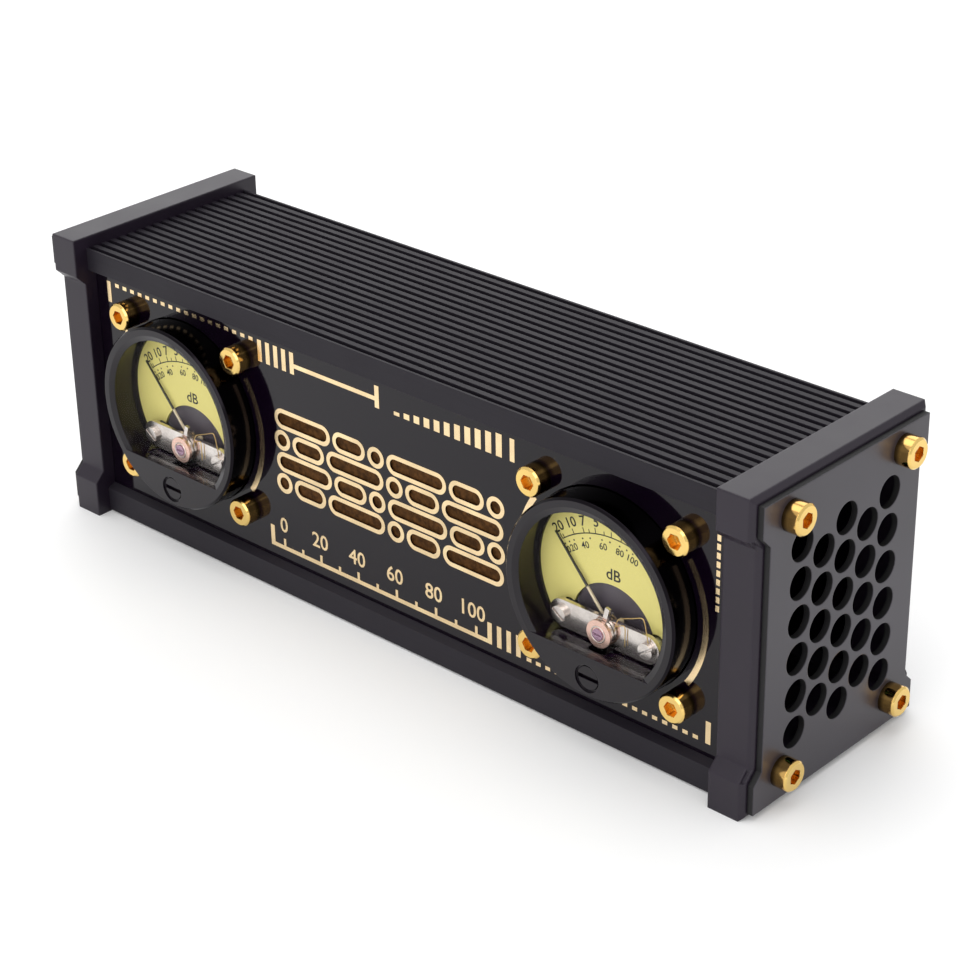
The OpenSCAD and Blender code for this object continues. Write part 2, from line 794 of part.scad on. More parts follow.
coil_front = dial_face - 0.85;
coil_depth = 9.5;
coil_back = coil_front - coil_depth;
yoke_front = coil_front - 1.2;
frame_front = coil_back - 0.9;
frame_plate_t = 1.5;
pillar_r = 1.5;
pillar_tap_r = 0.75;     // threaded hole in a pillar's end
foot_w = 4;              // width of the rear plate where it carries the pillars
post_r = 2;              // radius of the can's posts under the pillars
opening_r = 8.98;        // radius of the dial's opening
opening_drop = 1.4;      // the opening's centre lies below the pivot
shade_t = 0.2;
shade_edge = 0.6;        // how far the shade reaches past the opening
shade_hole_r = 1;
bridge_h = 5.2;
terminal_x = 4;
terminal_z = -3;
terminal_r = 0.6;

module bezel(side) {
    // A round front with a flat ledge across its lower part, and two flanges that bear on the panel's back
    color("#1b1a1d") at_meter(side) difference() {
        union() {
            plate(panel_back, flange_t) difference() {
                intersection() {
                    circle(r = flange_r);
                    square([2 * flange_r, 2 * flange_flat], center = true);
                }
                circle(r = spigot_r + 0.5);
            }
            facing() rotate_extrude() polygon([
                [spigot_r + 0.05, panel_back - flange_t], [neck_r, panel_back - flange_t],
                [neck_r, panel_back], [bezel_r, panel_back], [bezel_r, bezel_front - 0.4],
                [bezel_r - 0.4, bezel_front], [cavity_r, bezel_front],
                [lip_r, window_front + 0.2], [lip_r, window_front], [cavity_r, window_front],
                [cavity_r, dial_face + 0.55], [rim_r, dial_face + 0.55], [rim_r, dial_face],
                [spigot_r + 0.05, dial_face]
            ]);
            plate(bezel_front, bezel_front - block_back) difference() {
                circle(r = cavity_r + 0.1);
                translate([-bezel_r, -ledge_drop]) square([2 * bezel_r, 2 * bezel_r]);
            }
        }
        disc(zero_r + fit_gap, bezel_front + cut, zero_wall + 2 * cut, z = zero_z);
        facing() translate([0, zero_z, bezel_front - 0.45]) cylinder(r = zero_r + 0.4, h = cut);
        plate(pocket_front, pocket_front - block_back + cut) {
            translate([0, zero_z]) circle(r = zero_collar_r + 0.25);
            translate([-1.9, zero_z]) square([3.8, -ledge_drop - zero_z + cut]);
        }
    }
}

module window(side) {
    color("#dfe6d8", 0.35) at_meter(side) plate(window_front, window_t) difference() {
        circle(r = cavity_r - 0.1);
        translate([-bezel_r, -ledge_drop + 0.1 - 2 * bezel_r]) square([2 * bezel_r, 2 * bezel_r]);
    }
}

module dial(side) {
    // D-shaped plate with a half-round opening for the movement
    color("#cfc983") at_meter(side) plate(dial_face, dial_t) difference() {
        circle(r = spigot_r);
        translate([-bezel_r, -2 * bezel_r - ledge_drop + 0.6]) square([2 * bezel_r, 2 * bezel_r]);
        translate([0, -pivot_drop - opening_drop]) circle(r = opening_r);
        pillar_clearance();
    }
}

module pillar_clearance() {
    for (x = [-1, 1]) translate([x * pillar_x, -pivot_drop]) circle(r = pillar_r + 0.3);
}

module shade(side) {
    // Dark sheet behind the dial's opening, which hides the movement round the pivot. It fits inside the can.
    color("#2a262c") at_meter(side) plate(dial_back - fit_gap, shade_t) difference() {
        intersection() {
            translate([0, -pivot_drop - opening_drop]) circle(r = opening_r + shade_edge);
            circle(r = can_inner_r - fit_gap);
        }
        translate([0, -pivot_drop]) circle(r = shade_hole_r);
        pillar_clearance();
    }
}

module can(side) {
    // Rear housing: its spigot centres it in the bezel, and the dial lies on its front edge
    spigot_back = panel_back - flange_t;
    floor_front = can_back + can_wall;
    color("#1b1a1d") at_meter(side) {
        difference() {
            facing() rotate_extrude() polygon([
                [0, can_back], [can_r, can_back], [can_r, spigot_back], [spigot_r, spigot_back],
                [spigot_r, dial_back], [can_inner_r, dial_back], [can_inner_r, floor_front],
                [0, floor_front]
            ]);
            for (x = [-1, 1]) disc(terminal_r + 0.1, floor_front + cut, can_wall + 2 * cut,
                x = x * terminal_x, z = terminal_z);
        }
        post_front = frame_front - frame_plate_t;
        for (x = [-1, 1])
            disc(post_r, post_front, post_front - floor_front + 0.1, x = x * pillar_x, z = -pivot_drop);
    }
}

module movement_frame(side) {
    // Rear plate with the rear bearing, and two pillars that carry the bridge
    pillar_front = bridge_front - bridge_t;
    color("#9a9a9f") at_pivot(side) difference() {
        union() {
            plate(frame_front, frame_plate_t) pill(2 * pillar_x + foot_w, foot_w);
            plate(frame_front, frame_plate_t) circle(r = yoke_r);
            for (x = [-1, 1])
                disc(pillar_r, pillar_front, pillar_front - frame_front + 0.1, x = x * pillar_x);
        }
        disc(pivot_r + fit_gap, frame_front + cut, 1 + cut);
        for (x = [-1, 1]) disc(pillar_tap_r, pillar_front + cut, 3 + cut, x = x * pillar_x);
    }
}

module yoke(side) {
    // Soft iron ring with two lugs that hold the magnet core
    bore = coil_half + 0.5;
    lug_w = 2.4;
    color("#5b5b60") at_pivot(side) {
        plate(yoke_front, yoke_front - frame_front) difference() {
            circle(r = yoke_r);
            circle(r = bore);
        }
        for (turn = [0, 180]) rotate([0, turn, 0]) plate(yoke_front - 2, 4) difference() {
            translate([-lug_w / 2, 0]) square([lug_w, bore + 0.3]);
            circle(r = core_r + fit_gap);
        }
    }
}

module magnet_core(side) {
    // Lies inside the coil, 1.2 mm clear of it in front and behind
    color("#b3b3b8") at_pivot(side) disc(core_r, yoke_front, coil_depth - 2 * (coil_front - yoke_front));
}

module bridge(side) {
    // Polished bar across the movement, with the hub's threaded hole in its middle
    color("#cfcfd3") at_pivot(side) plate(bridge_front, bridge_t) difference() {
        pill(2 * pillar_x + bridge_h - 0.4, bridge_h);
        circle(r = collar_r + fit_gap);
        for (x = [-1, 1]) translate([x * pillar_x, 0]) circle(r = 0.8);
    }
}

module bridge_screws(side) {
    turn = 35;
    color("#d8d8dc") at_pivot(side) facing() for (x = [-1, 1])
        translate([x * pillar_x, 0, bridge_front]) rotate(x * turn)
            flat_screw(r = 1.5, head = 0.8, thread = 0.7, length = bridge_t + 2.5, slot_w = 0.35);
}

module jewel_screw(side) {
    // Hub disc whose collar screws into the bridge and holds the front bearing
    color("#c98f7a") at_pivot(side) difference() {
        union() {
            disc(hub_r, hub_back + hub_t, hub_t);
            disc(1.1, hub_back + hub_t + 0.25, hub_t);
            disc(collar_r, hub_back + 0.1, hub_back + 0.1 - jewel_back);
        }
        disc(pivot_r + fit_gap, jewel_back + 0.9, 0.9 + cut);
        translate([0, -hub_back - hub_t - 0.25, 0]) cube([1.5, 0.4, 0.35], center = true);
    }
}

module coil(side) {
    // Wound frame that turns round the core, across the needle's line, with its steel pivots
    loop_w = 2.4;
    tip_front = jewel_back + 0.6;
    color("#b5652e") at_pivot(side) {
        rotate([0, -needle_rest, 0]) difference() {
            plate(coil_front, coil_front - coil_back) square([2 * coil_half, loop_w], center = true);
            plate(coil_front - coil_t, coil_front - coil_back - 2 * coil_t)
                square([2 * (coil_half - coil_t), 2 * loop_w], center = true);
        }
        disc(pivot_r, tip_front, tip_front - coil_front + 0.1);
        disc(pivot_r, coil_back + 0.1, coil_back + 0.1 - frame_front + 0.8);
    }
}

module needle(side) {
    // Tapering blade on a small hub, with a counterweight tail and two balance arms
    tail = 4.2;
    arm = 2.8;
    color("#3d3a33") at_pivot(side) rotate([0, -needle_rest, 0]) difference() {
        union() {
            plate(needle_back + needle_t, needle_t) {
                polygon([[-0.32, 0], [0.32, 0], [0.14, needle_l], [-0.14, needle_l]]);
                translate([-0.4, -tail]) square([0.8, tail]);
                translate([-arm, -0.3]) square([2 * arm, 0.6]);
            }
            disc(0.9, needle_back + 0.5, 0.8);
            disc(1, needle_back + 0.5, 0.8, z = -tail);
            for (x = [-1, 1]) disc(0.55, needle_back + 0.4, 0.6, x = x * arm);
        }
        disc(pivot_r + 0.01, needle_back + cut, 3);
    }
}

module hairspring(side) {
    // Flat spiral strip from beside the hub out to the zero lever's stud
    turns = 3.25;
    steps = 66;
    inner = 0.8;
    strip = 0.12;
    outer = stud_r - stud_pin_r - strip - fit_gap;
    stud_angle = 75;
    color("#c8a050") at_pivot(side) plate(jewel_back - 0.05, 0.3) polygon(concat(
        [for (i = [0 : steps]) spiral_point(i / steps, turns, inner, outer, stud_angle)],
        [for (i = [steps : -1 : 0]) spiral_point(i / steps, turns, inner + strip, outer + strip, stud_angle)]
    ));
}

stud_r = 3.4;            // distance of the hairspring's stud from the pivot
stud_pin_r = 0.25;

function spiral_point(t, turns, r0, r1, end_angle) =
    // Point at fraction t of a spiral that widens evenly and ends at the given angle
    let (r = r0 + (r1 - r0) * t, a = end_angle - 360 * turns * (1 - t))
    [r * cos(a), r * sin(a)];

module zero_lever(side) {
    // Turns on the hub's collar: its fork takes the zero screw's pin, its stud the hairspring's end
    pin_y = -zero_drop + zero_throw;
    fork_half = zero_pin_r + 0.15;
    arm_w = 0.7;
    arm_l = 5.2;
    color("#c4c4c8") at_pivot(side) {
        plate(lever_front, lever_t) difference() {
            union() {
                circle(r = 2.3);
                translate([-0.8, pin_y + 1.2]) square([1.6, -pin_y - 1.2]);
                translate([-fork_half - arm_w, pin_y - 0.9]) square([2 * (fork_half + arm_w), 2.4]);
                rotate(75) translate([0, -0.45]) square([arm_l, 0.9]);
            }
            circle(r = collar_r + fit_gap);
            translate([-fork_half, pin_y - cut]) square([2 * fork_half, cut + 0.8]);
        }
        rotate([0, -75, 0]) facing() translate([stud_r, 0, jewel_back - 0.35])
            cylinder(r = stud_pin_r, h = lever_front - jewel_back + 0.2);
    }
}

zero_pin_r = 0.45;

module zero_screw(side) {
    // Slotted head in the bezel's face, collar behind the wall, and the eccentric pin
    head_front = bezel_front - 0.3;
    collar_front = pocket_front - 0.1;
    collar_t = 0.6;
    pin_back = lever_back - 0.4;
    color("#2a292d") at_meter(side) translate([0, 0, zero_z]) difference() {
        union() {
            disc(zero_r, head_front, head_front - collar_front + 0.1);
            disc(zero_collar_r, collar_front, collar_t);
            disc(zero_pin_r, collar_front, collar_front - pin_back, z = zero_throw);
        }
        translate([0, -head_front, 0]) cube([3 * zero_r, 1.6, 0.75], center = true);
    }
}

module terminals(side) {
    // Brass pins through the can's floor and the driver board
    front = can_back + can_wall + 2;
    back = board_back - 1.5;
    color("#c9a24a") at_meter(side) for (x = [-1, 1])
        disc(terminal_r, front, front - back, x = x * terminal_x, z = terminal_z);
}

top_extrusion();
bottom_extrusion();
left_end_frame();
right_end_frame();
left_end_plate();
right_end_plate();
left_end_screws();
right_end_screws();
front_panel();
panel_tracks();
rear_panel();
meter_screws();
standoffs();
driver_board();
board_screws();
board_parts();
power_inlet();
audio_socket();
level_pot();
level_knob();
button_switch();
push_button();
bezel(-1);  // left_bezel
bezel(1);  // right_bezel
window(-1);  // left_window
window(1);  // right_window
dial(-1);  // left_dial
dial(1);  // right_dial
shade(-1);  // left_shade
shade(1);  // right_shade
can(-1);  // left_can
can(1);  // right_can
movement_frame(-1);  // left_movement_frame
movement_frame(1);  // right_movement_frame
yoke(-1);  // left_yoke
yoke(1);  // right_yoke
magnet_core(-1);  // left_magnet_core
magnet_core(1);  // right_magnet_core
bridge(-1);  // left_bridge
bridge(1);  // right_bridge
bridge_screws(-1);  // left_bridge_screws
bridge_screws(1);  // right_bridge_screws
jewel_screw(-1);  // left_jewel_screw
jewel_screw(1);  // right_jewel_screw
coil(-1);  // left_coil
coil(1);  // right_coil
needle(-1);  // left_needle
needle(1);  // right_needle
hairspring(-1);  // left_hairspring
hairspring(1);  // right_hairspring
zero_lever(-1);  // left_zero_lever
zero_lever(1);  // right_zero_lever
zero_screw(-1);  // left_zero_screw
zero_screw(1);  // right_zero_screw
terminals(-1);  // left_terminals
terminals(1);  // right_terminals
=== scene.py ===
"""Looks of a desktop stereo level meter with two round moving-coil meters.

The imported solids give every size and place. This script adds the finishes, the printing on the
dials and the panels, the fine parts of the movements, and a plain pale studio. Lengths are in
metres.
"""

import json
import math

import bpy
import numpy as np
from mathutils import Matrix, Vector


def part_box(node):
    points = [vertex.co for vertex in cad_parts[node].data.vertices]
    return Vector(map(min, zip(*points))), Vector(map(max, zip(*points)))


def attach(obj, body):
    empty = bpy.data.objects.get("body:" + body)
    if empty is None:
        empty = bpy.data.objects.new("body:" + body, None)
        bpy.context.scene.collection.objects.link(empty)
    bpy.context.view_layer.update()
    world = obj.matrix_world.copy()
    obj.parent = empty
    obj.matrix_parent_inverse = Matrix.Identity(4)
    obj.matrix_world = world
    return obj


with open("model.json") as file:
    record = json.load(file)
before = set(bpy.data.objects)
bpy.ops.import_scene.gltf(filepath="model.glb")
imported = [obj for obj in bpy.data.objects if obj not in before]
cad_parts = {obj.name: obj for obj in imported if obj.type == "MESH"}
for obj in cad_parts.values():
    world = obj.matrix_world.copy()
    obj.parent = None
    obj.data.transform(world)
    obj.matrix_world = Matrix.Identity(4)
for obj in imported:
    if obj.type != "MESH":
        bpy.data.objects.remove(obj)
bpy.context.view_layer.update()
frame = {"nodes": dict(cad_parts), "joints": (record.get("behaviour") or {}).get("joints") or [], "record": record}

bl_info = {
    "name": "Stereo level meter",
    "version": (1, 0, 0),
    "blender": (4, 5, 0),
    "location": "View3D > Sidebar > Level meter",
    "description": "Dresses a stereo level meter with its finishes, printing and studio",
    "category": "Object",
}

MM = 0.001
SIDES = ("left", "right")
CASE = "case"


# ---- Sizes and colours ----


class LevelMeterSizes(bpy.types.PropertyGroup):
    """Sizes of the printing and of the fine parts, which a user would change."""

    print_thickness: bpy.props.FloatProperty(
        name="Print thickness", description="How far the printing stands off its plate",
        default=0.02 * MM, unit="LENGTH",
    )
    scale_radius: bpy.props.FloatProperty(
        name="Scale radius", description="Radius of the dial's printed arc",
        default=17.85 * MM, unit="LENGTH",
    )
    scale_drop: bpy.props.FloatProperty(
        name="Scale centre", description="Distance of the arc's centre below the meter's centre",
        default=8.8 * MM, unit="LENGTH",
    )
    scale_half_angle: bpy.props.FloatProperty(
        name="Scale half angle", description="Half the angle that the printed arc spans",
        default=math.radians(38.6), subtype="ANGLE",
    )
    upper_numeral: bpy.props.FloatProperty(
        name="Upper numerals", description="Height of the numerals above the arc",
        default=1.85 * MM, unit="LENGTH",
    )
    lower_numeral: bpy.props.FloatProperty(
        name="Lower numerals", description="Height of the numerals below the arc",
        default=1.27 * MM, unit="LENGTH",
    )
    unit_mark: bpy.props.FloatProperty(
        name="Unit mark", description="Height of the unit's letters on the dial",
        default=2.1 * MM, unit="LENGTH",
    )
    panel_numeral: bpy.props.FloatProperty(
        name="Panel numerals", description="Height of the numerals on the panel's lower scale",
        default=3.1 * MM, unit="LENGTH",
    )
    wire_radius: bpy.props.FloatProperty(
        name="Lead wire", description="Radius of the fine lead wires",
        default=0.09 * MM, unit="LENGTH",
    )
    bezel_rim: bpy.props.FloatProperty(
        name="Bezel rim", description="Radius where a meter's flat front meets its chamfer",
        default=17.8 * MM, unit="LENGTH",
    )


class LevelMeterColours(bpy.types.PropertyGroup):
    """Base colours of the main finishes, in linear light."""

    anodised: bpy.props.FloatVectorProperty(
        name="Anodised case", description="Colour of the two extrusions", subtype="COLOR",
        default=(0.010, 0.0075, 0.013),
    )
    end_frame: bpy.props.FloatVectorProperty(
        name="End frames", description="Colour of the matt end frames", subtype="COLOR",
        default=(0.011, 0.0060, 0.0145),
    )
    end_plate: bpy.props.FloatVectorProperty(
        name="End plates", description="Colour of the lacquered end plates", subtype="COLOR",
        default=(0.034, 0.029, 0.039),
    )
    panel: bpy.props.FloatVectorProperty(
        name="Panel lacquer", description="Colour of the glossy panels", subtype="COLOR",
        default=(0.0026, 0.0006, 0.0040),
    )
    slot_floor: bpy.props.FloatVectorProperty(
        name="Slot floors", description="Colour of the sunk slots' dull copper floors",
        subtype="COLOR", default=(0.085, 0.037, 0.011),
    )
    gold: bpy.props.FloatVectorProperty(
        name="Gold plating", description="Colour of the polished socket screws", subtype="COLOR",
        default=(0.88, 0.61, 0.20),
    )
    # Painted shade: the screws' sides and sockets are drawn browner than the gold face.
    screw_side_shade: bpy.props.FloatVectorProperty(
        name="Screw sides", description="Colour of the socket screws' sides and sockets",
        subtype="COLOR", default=(0.78, 0.48, 0.15),
    )
    # Painted shade: the screws' sides are drawn darker towards their seats.
    screw_seat_shade: bpy.props.FloatVectorProperty(
        name="Screw seats", description="Colour of the socket screws' sides near their seats",
        subtype="COLOR", default=(0.15, 0.09, 0.03),
    )
    track: bpy.props.FloatVectorProperty(
        name="Gold tracks", description="Colour of the panel's raised tracks", subtype="COLOR",
        default=(0.95, 0.73, 0.43),
    )
    meter: bpy.props.FloatVectorProperty(
        name="Meter housing", description="Colour of the moulded meter fronts", subtype="COLOR",
        default=(0.0035, 0.0012, 0.0045),
    )
    # Painted shade: the meters' chamfers and outer walls mirror this darker colour.
    meter_rim_shade: bpy.props.FloatVectorProperty(
        name="Meter rim", description="Colour that the meters' chamfers and outer walls mirror",
        subtype="COLOR", default=(0.014, 0.012, 0.015),
    )
    dial: bpy.props.FloatVectorProperty(
        name="Dial card", description="Colour of the dials", subtype="COLOR",
        default=(0.71, 0.635, 0.205),
    )
    ink: bpy.props.FloatVectorProperty(
        name="Dial ink", description="Colour of the dials' printing", subtype="COLOR",
        default=(0.012, 0.012, 0.010),
    )
    red_ink: bpy.props.FloatVectorProperty(
        name="Red ink", description="Colour of the arc above zero", subtype="COLOR",
        default=(0.55, 0.03, 0.02),
    )
    paint: bpy.props.FloatVectorProperty(
        name="Rear print", description="Colour of the marks on the rear and on the knob",
        subtype="COLOR", default=(0.62, 0.61, 0.58),
    )


def sizes():
    """The user's sizes."""
    return bpy.context.scene.level_meter_sizes


def colours():
    """The user's colours."""
    return bpy.context.scene.level_meter_colours


def rgba(colour):
    """A colour with full alpha, as a shader's socket takes it."""
    return (*colour, 1.0)


# ---- Places, from the frame ----


def joint_of(name):
    """A joint of the frame, by its name."""
    return next(joint for joint in frame["joints"] if joint["name"] == name)


def axis_of(name):
    """Where the axis of a joint that turns about Y stands: its x and z."""
    return np.array(joint_of(name)["pos_m"], float)[[0, 2]]


def pivot_of(side):
    """The x and z of a needle's pivot."""
    return axis_of(f"{side}_needle_swing")


def meter_centre(side):
    """Middle of a meter's round front, from the box of its rear can, whose outline is a whole
    circle."""
    low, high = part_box(f"{side}_can")
    return np.array([(low.x + high.x) / 2, (low.z + high.z) / 2])


def front_of(node):
    """The y of a node's foremost face."""
    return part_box(node)[0].y


def rear_of(node):
    """The y of a node's rearmost face."""
    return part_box(node)[1].y


# ---- Surfaces, as whole arrays ----


def grid_faces(rows, columns, wrap_rows=False, wrap_columns=False):
    """Quads of a grid of rows x columns points: each joins a point to its right and lower
    neighbours, and a wrapped direction joins the last line to the first."""
    i = np.arange(rows if wrap_rows else rows - 1)
    j = np.arange(columns if wrap_columns else columns - 1)
    i, j = np.meshgrid(i, j, indexing="ij")
    i2, j2 = (i + 1) % rows, (j + 1) % columns
    corners = (i * columns + j, i * columns + j2, i2 * columns + j2, i2 * columns + j)
    return np.stack([c.ravel() for c in corners], axis=1)


def make_piece(name, points, faces, smooth=False):
    """A mesh object at the origin from an array of points and lists of faces."""
    mesh = bpy.data.meshes.new(name)
    mesh.from_pydata(np.asarray(points, float).tolist(), [], [list(map(int, f)) for f in faces])
    mesh.validate()
    mesh.polygons.foreach_set("use_smooth", [smooth] * len(mesh.polygons))
    mesh.update()
    piece = bpy.data.objects.new(name, mesh)
    bpy.context.scene.collection.objects.link(piece)
    return piece


def arc_bar(centre, radius_in, radius_out, start, end, back, front, steps=48):
    """Points and faces of a thin bar along an arc. At angle a from upright, clockwise seen from
    the front, and radius r, a point is (cx + r sin a, y, cz + r cos a). The four corners of the
    bar's section are carried from start to end, and both ends are closed."""
    angle = np.linspace(start, end, steps + 1)[:, None]
    radius = np.array([radius_in, radius_out, radius_out, radius_in])[None, :]
    depth = np.array([front, front, back, back])[None, :]
    points = np.stack([
        centre[0] + radius * np.sin(angle),
        np.broadcast_to(depth, (steps + 1, 4)),
        centre[1] + radius * np.cos(angle),
    ], axis=-1).reshape(-1, 3)
    last = 4 * steps
    faces = grid_faces(steps + 1, 4, wrap_columns=True).tolist()
    faces += [[3, 2, 1, 0], [last, last + 1, last + 2, last + 3]]
    return points, faces


def turned(profile, centre, segments=64):
    """Points and faces of a piece turned about an axis along Y. The profile's points (r, y) go
    round: (cx + r sin a, y, cz + r cos a). A closed profile makes a ring without seams or
    poles."""
    profile = np.asarray(profile, float)
    angle = np.linspace(0, 2 * math.pi, segments, endpoint=False)[:, None]
    points = np.stack([
        centre[0] + profile[None, :, 0] * np.sin(angle),
        np.broadcast_to(profile[None, :, 1], (segments, len(profile))),
        centre[1] + profile[None, :, 0] * np.cos(angle),
    ], axis=-1).reshape(-1, 3)
    return points, grid_faces(segments, len(profile), True, True).tolist()


def wire(path, radius, sides=10):
    """Points and faces of a round wire along a path. With the tangent t and the fixed direction
    Y, the section's axes are n = Y x t and b = t x n, and a point is p + radius (n cos a +
    b sin a)."""
    path = np.asarray(path, float)
    tangent = np.gradient(path, axis=0)
    tangent /= np.linalg.norm(tangent, axis=1)[:, None]
    normal = np.cross([0.0, 1.0, 0.0], tangent)
    normal /= np.linalg.norm(normal, axis=1)[:, None]
    binormal = np.cross(tangent, normal)
    angle = np.linspace(0, 2 * math.pi, sides, endpoint=False)[None, :, None]
    spoke = normal[:, None] * np.cos(angle) + binormal[:, None] * np.sin(angle)
    points = path[:, None] + radius * spoke
    faces = grid_faces(len(path), sides, wrap_columns=True)[:, ::-1].tolist()
    last = (len(path) - 1) * sides
    faces += [list(range(sides)), list(range(last + sides - 1, last - 1, -1))]
    return points.reshape(-1, 3), faces


def smooth_path(corners, count=60):
    """A Catmull-Rom curve through the corners: each span blends its four neighbours by cubic
    weights."""
    p = np.asarray(corners, float)
    p = np.vstack([2 * p[0] - p[1], p, 2 * p[-1] - p[-2]])
    just_short = 1e-9  # keeps the last point in the last span
    s = np.linspace(0, len(p) - 3 - just_short, count)
    k = s.astype(int)
    t = (s - k)[:, None]
    a, b, c, d = p[k], p[k + 1], p[k + 2], p[k + 3]
    square = 2 * a - 5 * b + 4 * c - d
    cube = 3 * b - a - 3 * c + d
    return 0.5 * (2 * b + (c - a) * t + square * t**2 + cube * t**3)


STROKE_WEIGHT = 0.012  # how far a letter's strokes are widened, for a font of size one


def lettering(text, height, centre, turn, back, thickness):
    """Points and faces of a word: its outline is made a mesh, scaled to the given height, turned
    clockwise by an angle about its middle, and stood up so that it faces -Y."""
    half_depth = 0.5
    curve = bpy.data.curves.new("word", "FONT")
    curve.body = text
    curve.align_x = "CENTER"
    curve.resolution_u = 3
    curve.extrude = half_depth
    curve.offset = STROKE_WEIGHT
    holder = bpy.data.objects.new("word", curve)
    bpy.context.scene.collection.objects.link(holder)
    bpy.context.view_layer.update()
    evaluated = holder.evaluated_get(bpy.context.evaluated_depsgraph_get())
    mesh = bpy.data.meshes.new_from_object(evaluated)
    flat = np.empty(len(mesh.vertices) * 3)
    mesh.vertices.foreach_get("co", flat)
    faces = [list(f.vertices) for f in mesh.polygons]
    bpy.data.objects.remove(holder)
    bpy.data.curves.remove(curve)
    bpy.data.meshes.remove(mesh)
    flat = flat.reshape(-1, 3)
    low, high = flat.min(0), flat.max(0)
    flat[:, :2] -= (low[:2] + high[:2]) / 2
    flat[:, :2] *= height / (high[1] - low[1])
    x = flat[:, 0] * math.cos(turn) + flat[:, 1] * math.sin(turn)
    z = flat[:, 1] * math.cos(turn) - flat[:, 0] * math.sin(turn)
    y = back - (flat[:, 2] + half_depth) * thickness
    return np.stack([centre[0] + x, y, centre[1] + z], axis=1), faces


def gather(parts):
    """One list of points and faces from several."""
    points, faces, start = [], [], 0
    for some, theirs in parts:
        points.append(some)
        faces += [[start + k for k in f] for f in theirs]
        start += len(some)
    return np.vstack(points), faces


def dress(piece, body, material):
    """Gives a new piece its finish and its body."""
    piece.data.materials.append(material)
    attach(piece, body)


# ---- Shared surface effects ----


class Wiring:
    """Adds nodes to a tree and links them, so that a finish reads as a short list of steps."""

    def __init__(self, tree):
        self.tree = tree

    def node(self, kind, inputs=None, **settings):
        """A new node with its settings and inputs."""
        made = self.tree.nodes.new(kind)
        for key, value in settings.items():
            setattr(made, key, value)
        for key, value in (inputs or {}).items():
            self.feed(made.inputs[key], value)
        return made

    def feed(self, socket, value):
        """Links another node's output to the socket, or gives the socket a plain value."""
        if isinstance(value, bpy.types.NodeSocket):
            self.tree.links.new(value, socket)
        else:
            socket.default_value = value

    def math(self, operation, *values):
        """The result of a sum or a comparison."""
        made = self.node("ShaderNodeMath", operation=operation)
        for socket, value in zip(made.inputs, values):
            self.feed(socket, value)
        return made.outputs[0]

    def span(self, value, low, high, to_low=0.0, to_high=1.0):
        """The value, brought from between low and high to between two others."""
        made = self.node("ShaderNodeMapRange", {
            "Value": value, "From Min": low, "From Max": high,
            "To Min": to_low, "To Max": to_high,
        })
        return made.outputs["Result"]

    def mix(self, factor, first, second):
        """The first colour where the factor is nought, and the second where it is one."""
        made = self.node("ShaderNodeMix", data_type="RGBA")
        colour_inputs = [s for s in made.inputs if s.type == "RGBA"]
        self.feed(made.inputs["Factor"], factor)
        self.feed(colour_inputs[0], first)
        self.feed(colour_inputs[1], second)
        return next(s for s in made.outputs if s.type == "RGBA")

    def noise(self, vector, scale, detail=2.0, roughness=0.5):
        """A noise about one half, which lies mostly between 0.3 and 0.7."""
        made = self.node("ShaderNodeTexNoise", {
            "Vector": vector, "Scale": scale, "Detail": detail, "Roughness": roughness,
        })
        return made.outputs[0]

    def shade(self, noise, darkest, lightest):
        """A noise as a factor for a colour."""
        return self.span(noise, 0.3, 0.7, darkest, lightest)


def shared_group(name, inputs, outputs, build):
    """A node group that is built once: inputs are (name, kind, default) and outputs (name,
    kind)."""
    found = bpy.data.node_groups.get(name)
    if found:
        return found
    group = bpy.data.node_groups.new(name, "ShaderNodeTree")
    for label, kind, default in inputs:
        socket = group.interface.new_socket(label, in_out="INPUT", socket_type=kind)
        if default is not None:
            socket.default_value = default
    for label, kind in outputs:
        group.interface.new_socket(label, in_out="OUTPUT", socket_type=kind)
    w = Wiring(group)
    build(w, w.node("NodeGroupInput"), w.node("NodeGroupOutput"))
    return group


def fine_grain():
    """Moulded or lacquered grain: a fine noise gives the height, and a broad one, 25 times as
    coarse, sways the roughness and the shade."""
    def build(w, given, result):
        fine = w.noise(given.outputs["Place"], given.outputs["Scale"], 3.0)
        broad_scale = w.math("MULTIPLY", given.outputs["Scale"], 0.04)
        broad = w.noise(given.outputs["Place"], broad_scale, 3.0)
        sway = w.math("MULTIPLY", w.math("SUBTRACT", broad, 0.5), given.outputs["Spread"])
        w.feed(result.inputs["Height"], fine)
        w.feed(result.inputs["Roughness"], w.math("ADD", given.outputs["Roughness"], sway))
        w.feed(result.inputs["Shade"], w.shade(broad, 0.88, 1.12))

    return shared_group(
        "Fine grain",
        [("Place", "NodeSocketVector", None), ("Scale", "NodeSocketFloat", 2000.0),
         ("Roughness", "NodeSocketFloat", 0.4), ("Spread", "NodeSocketFloat", 0.1)],
        [("Height", "NodeSocketFloat"), ("Roughness", "NodeSocketFloat"),
         ("Shade", "NodeSocketFloat")],
        build,
    )


def drawn_lines():
    """Lines left by drawing metal through a die: noise stretched a hundred times along X."""
    def build(w, given, result):
        stretched = w.node("ShaderNodeMapping", {
            "Vector": given.outputs["Place"], "Scale": (0.01, 1.0, 1.0),
        })
        lines = w.noise(stretched.outputs[0], given.outputs["Scale"], 4.0, 0.6)
        w.feed(result.inputs["Height"], lines)
        w.feed(result.inputs["Shade"], w.shade(lines, 0.85, 1.15))

    return shared_group(
        "Drawn lines",
        [("Place", "NodeSocketVector", None), ("Scale", "NodeSocketFloat", 4000.0)],
        [("Height", "NodeSocketFloat"), ("Shade", "NodeSocketFloat")],
        build,
    )


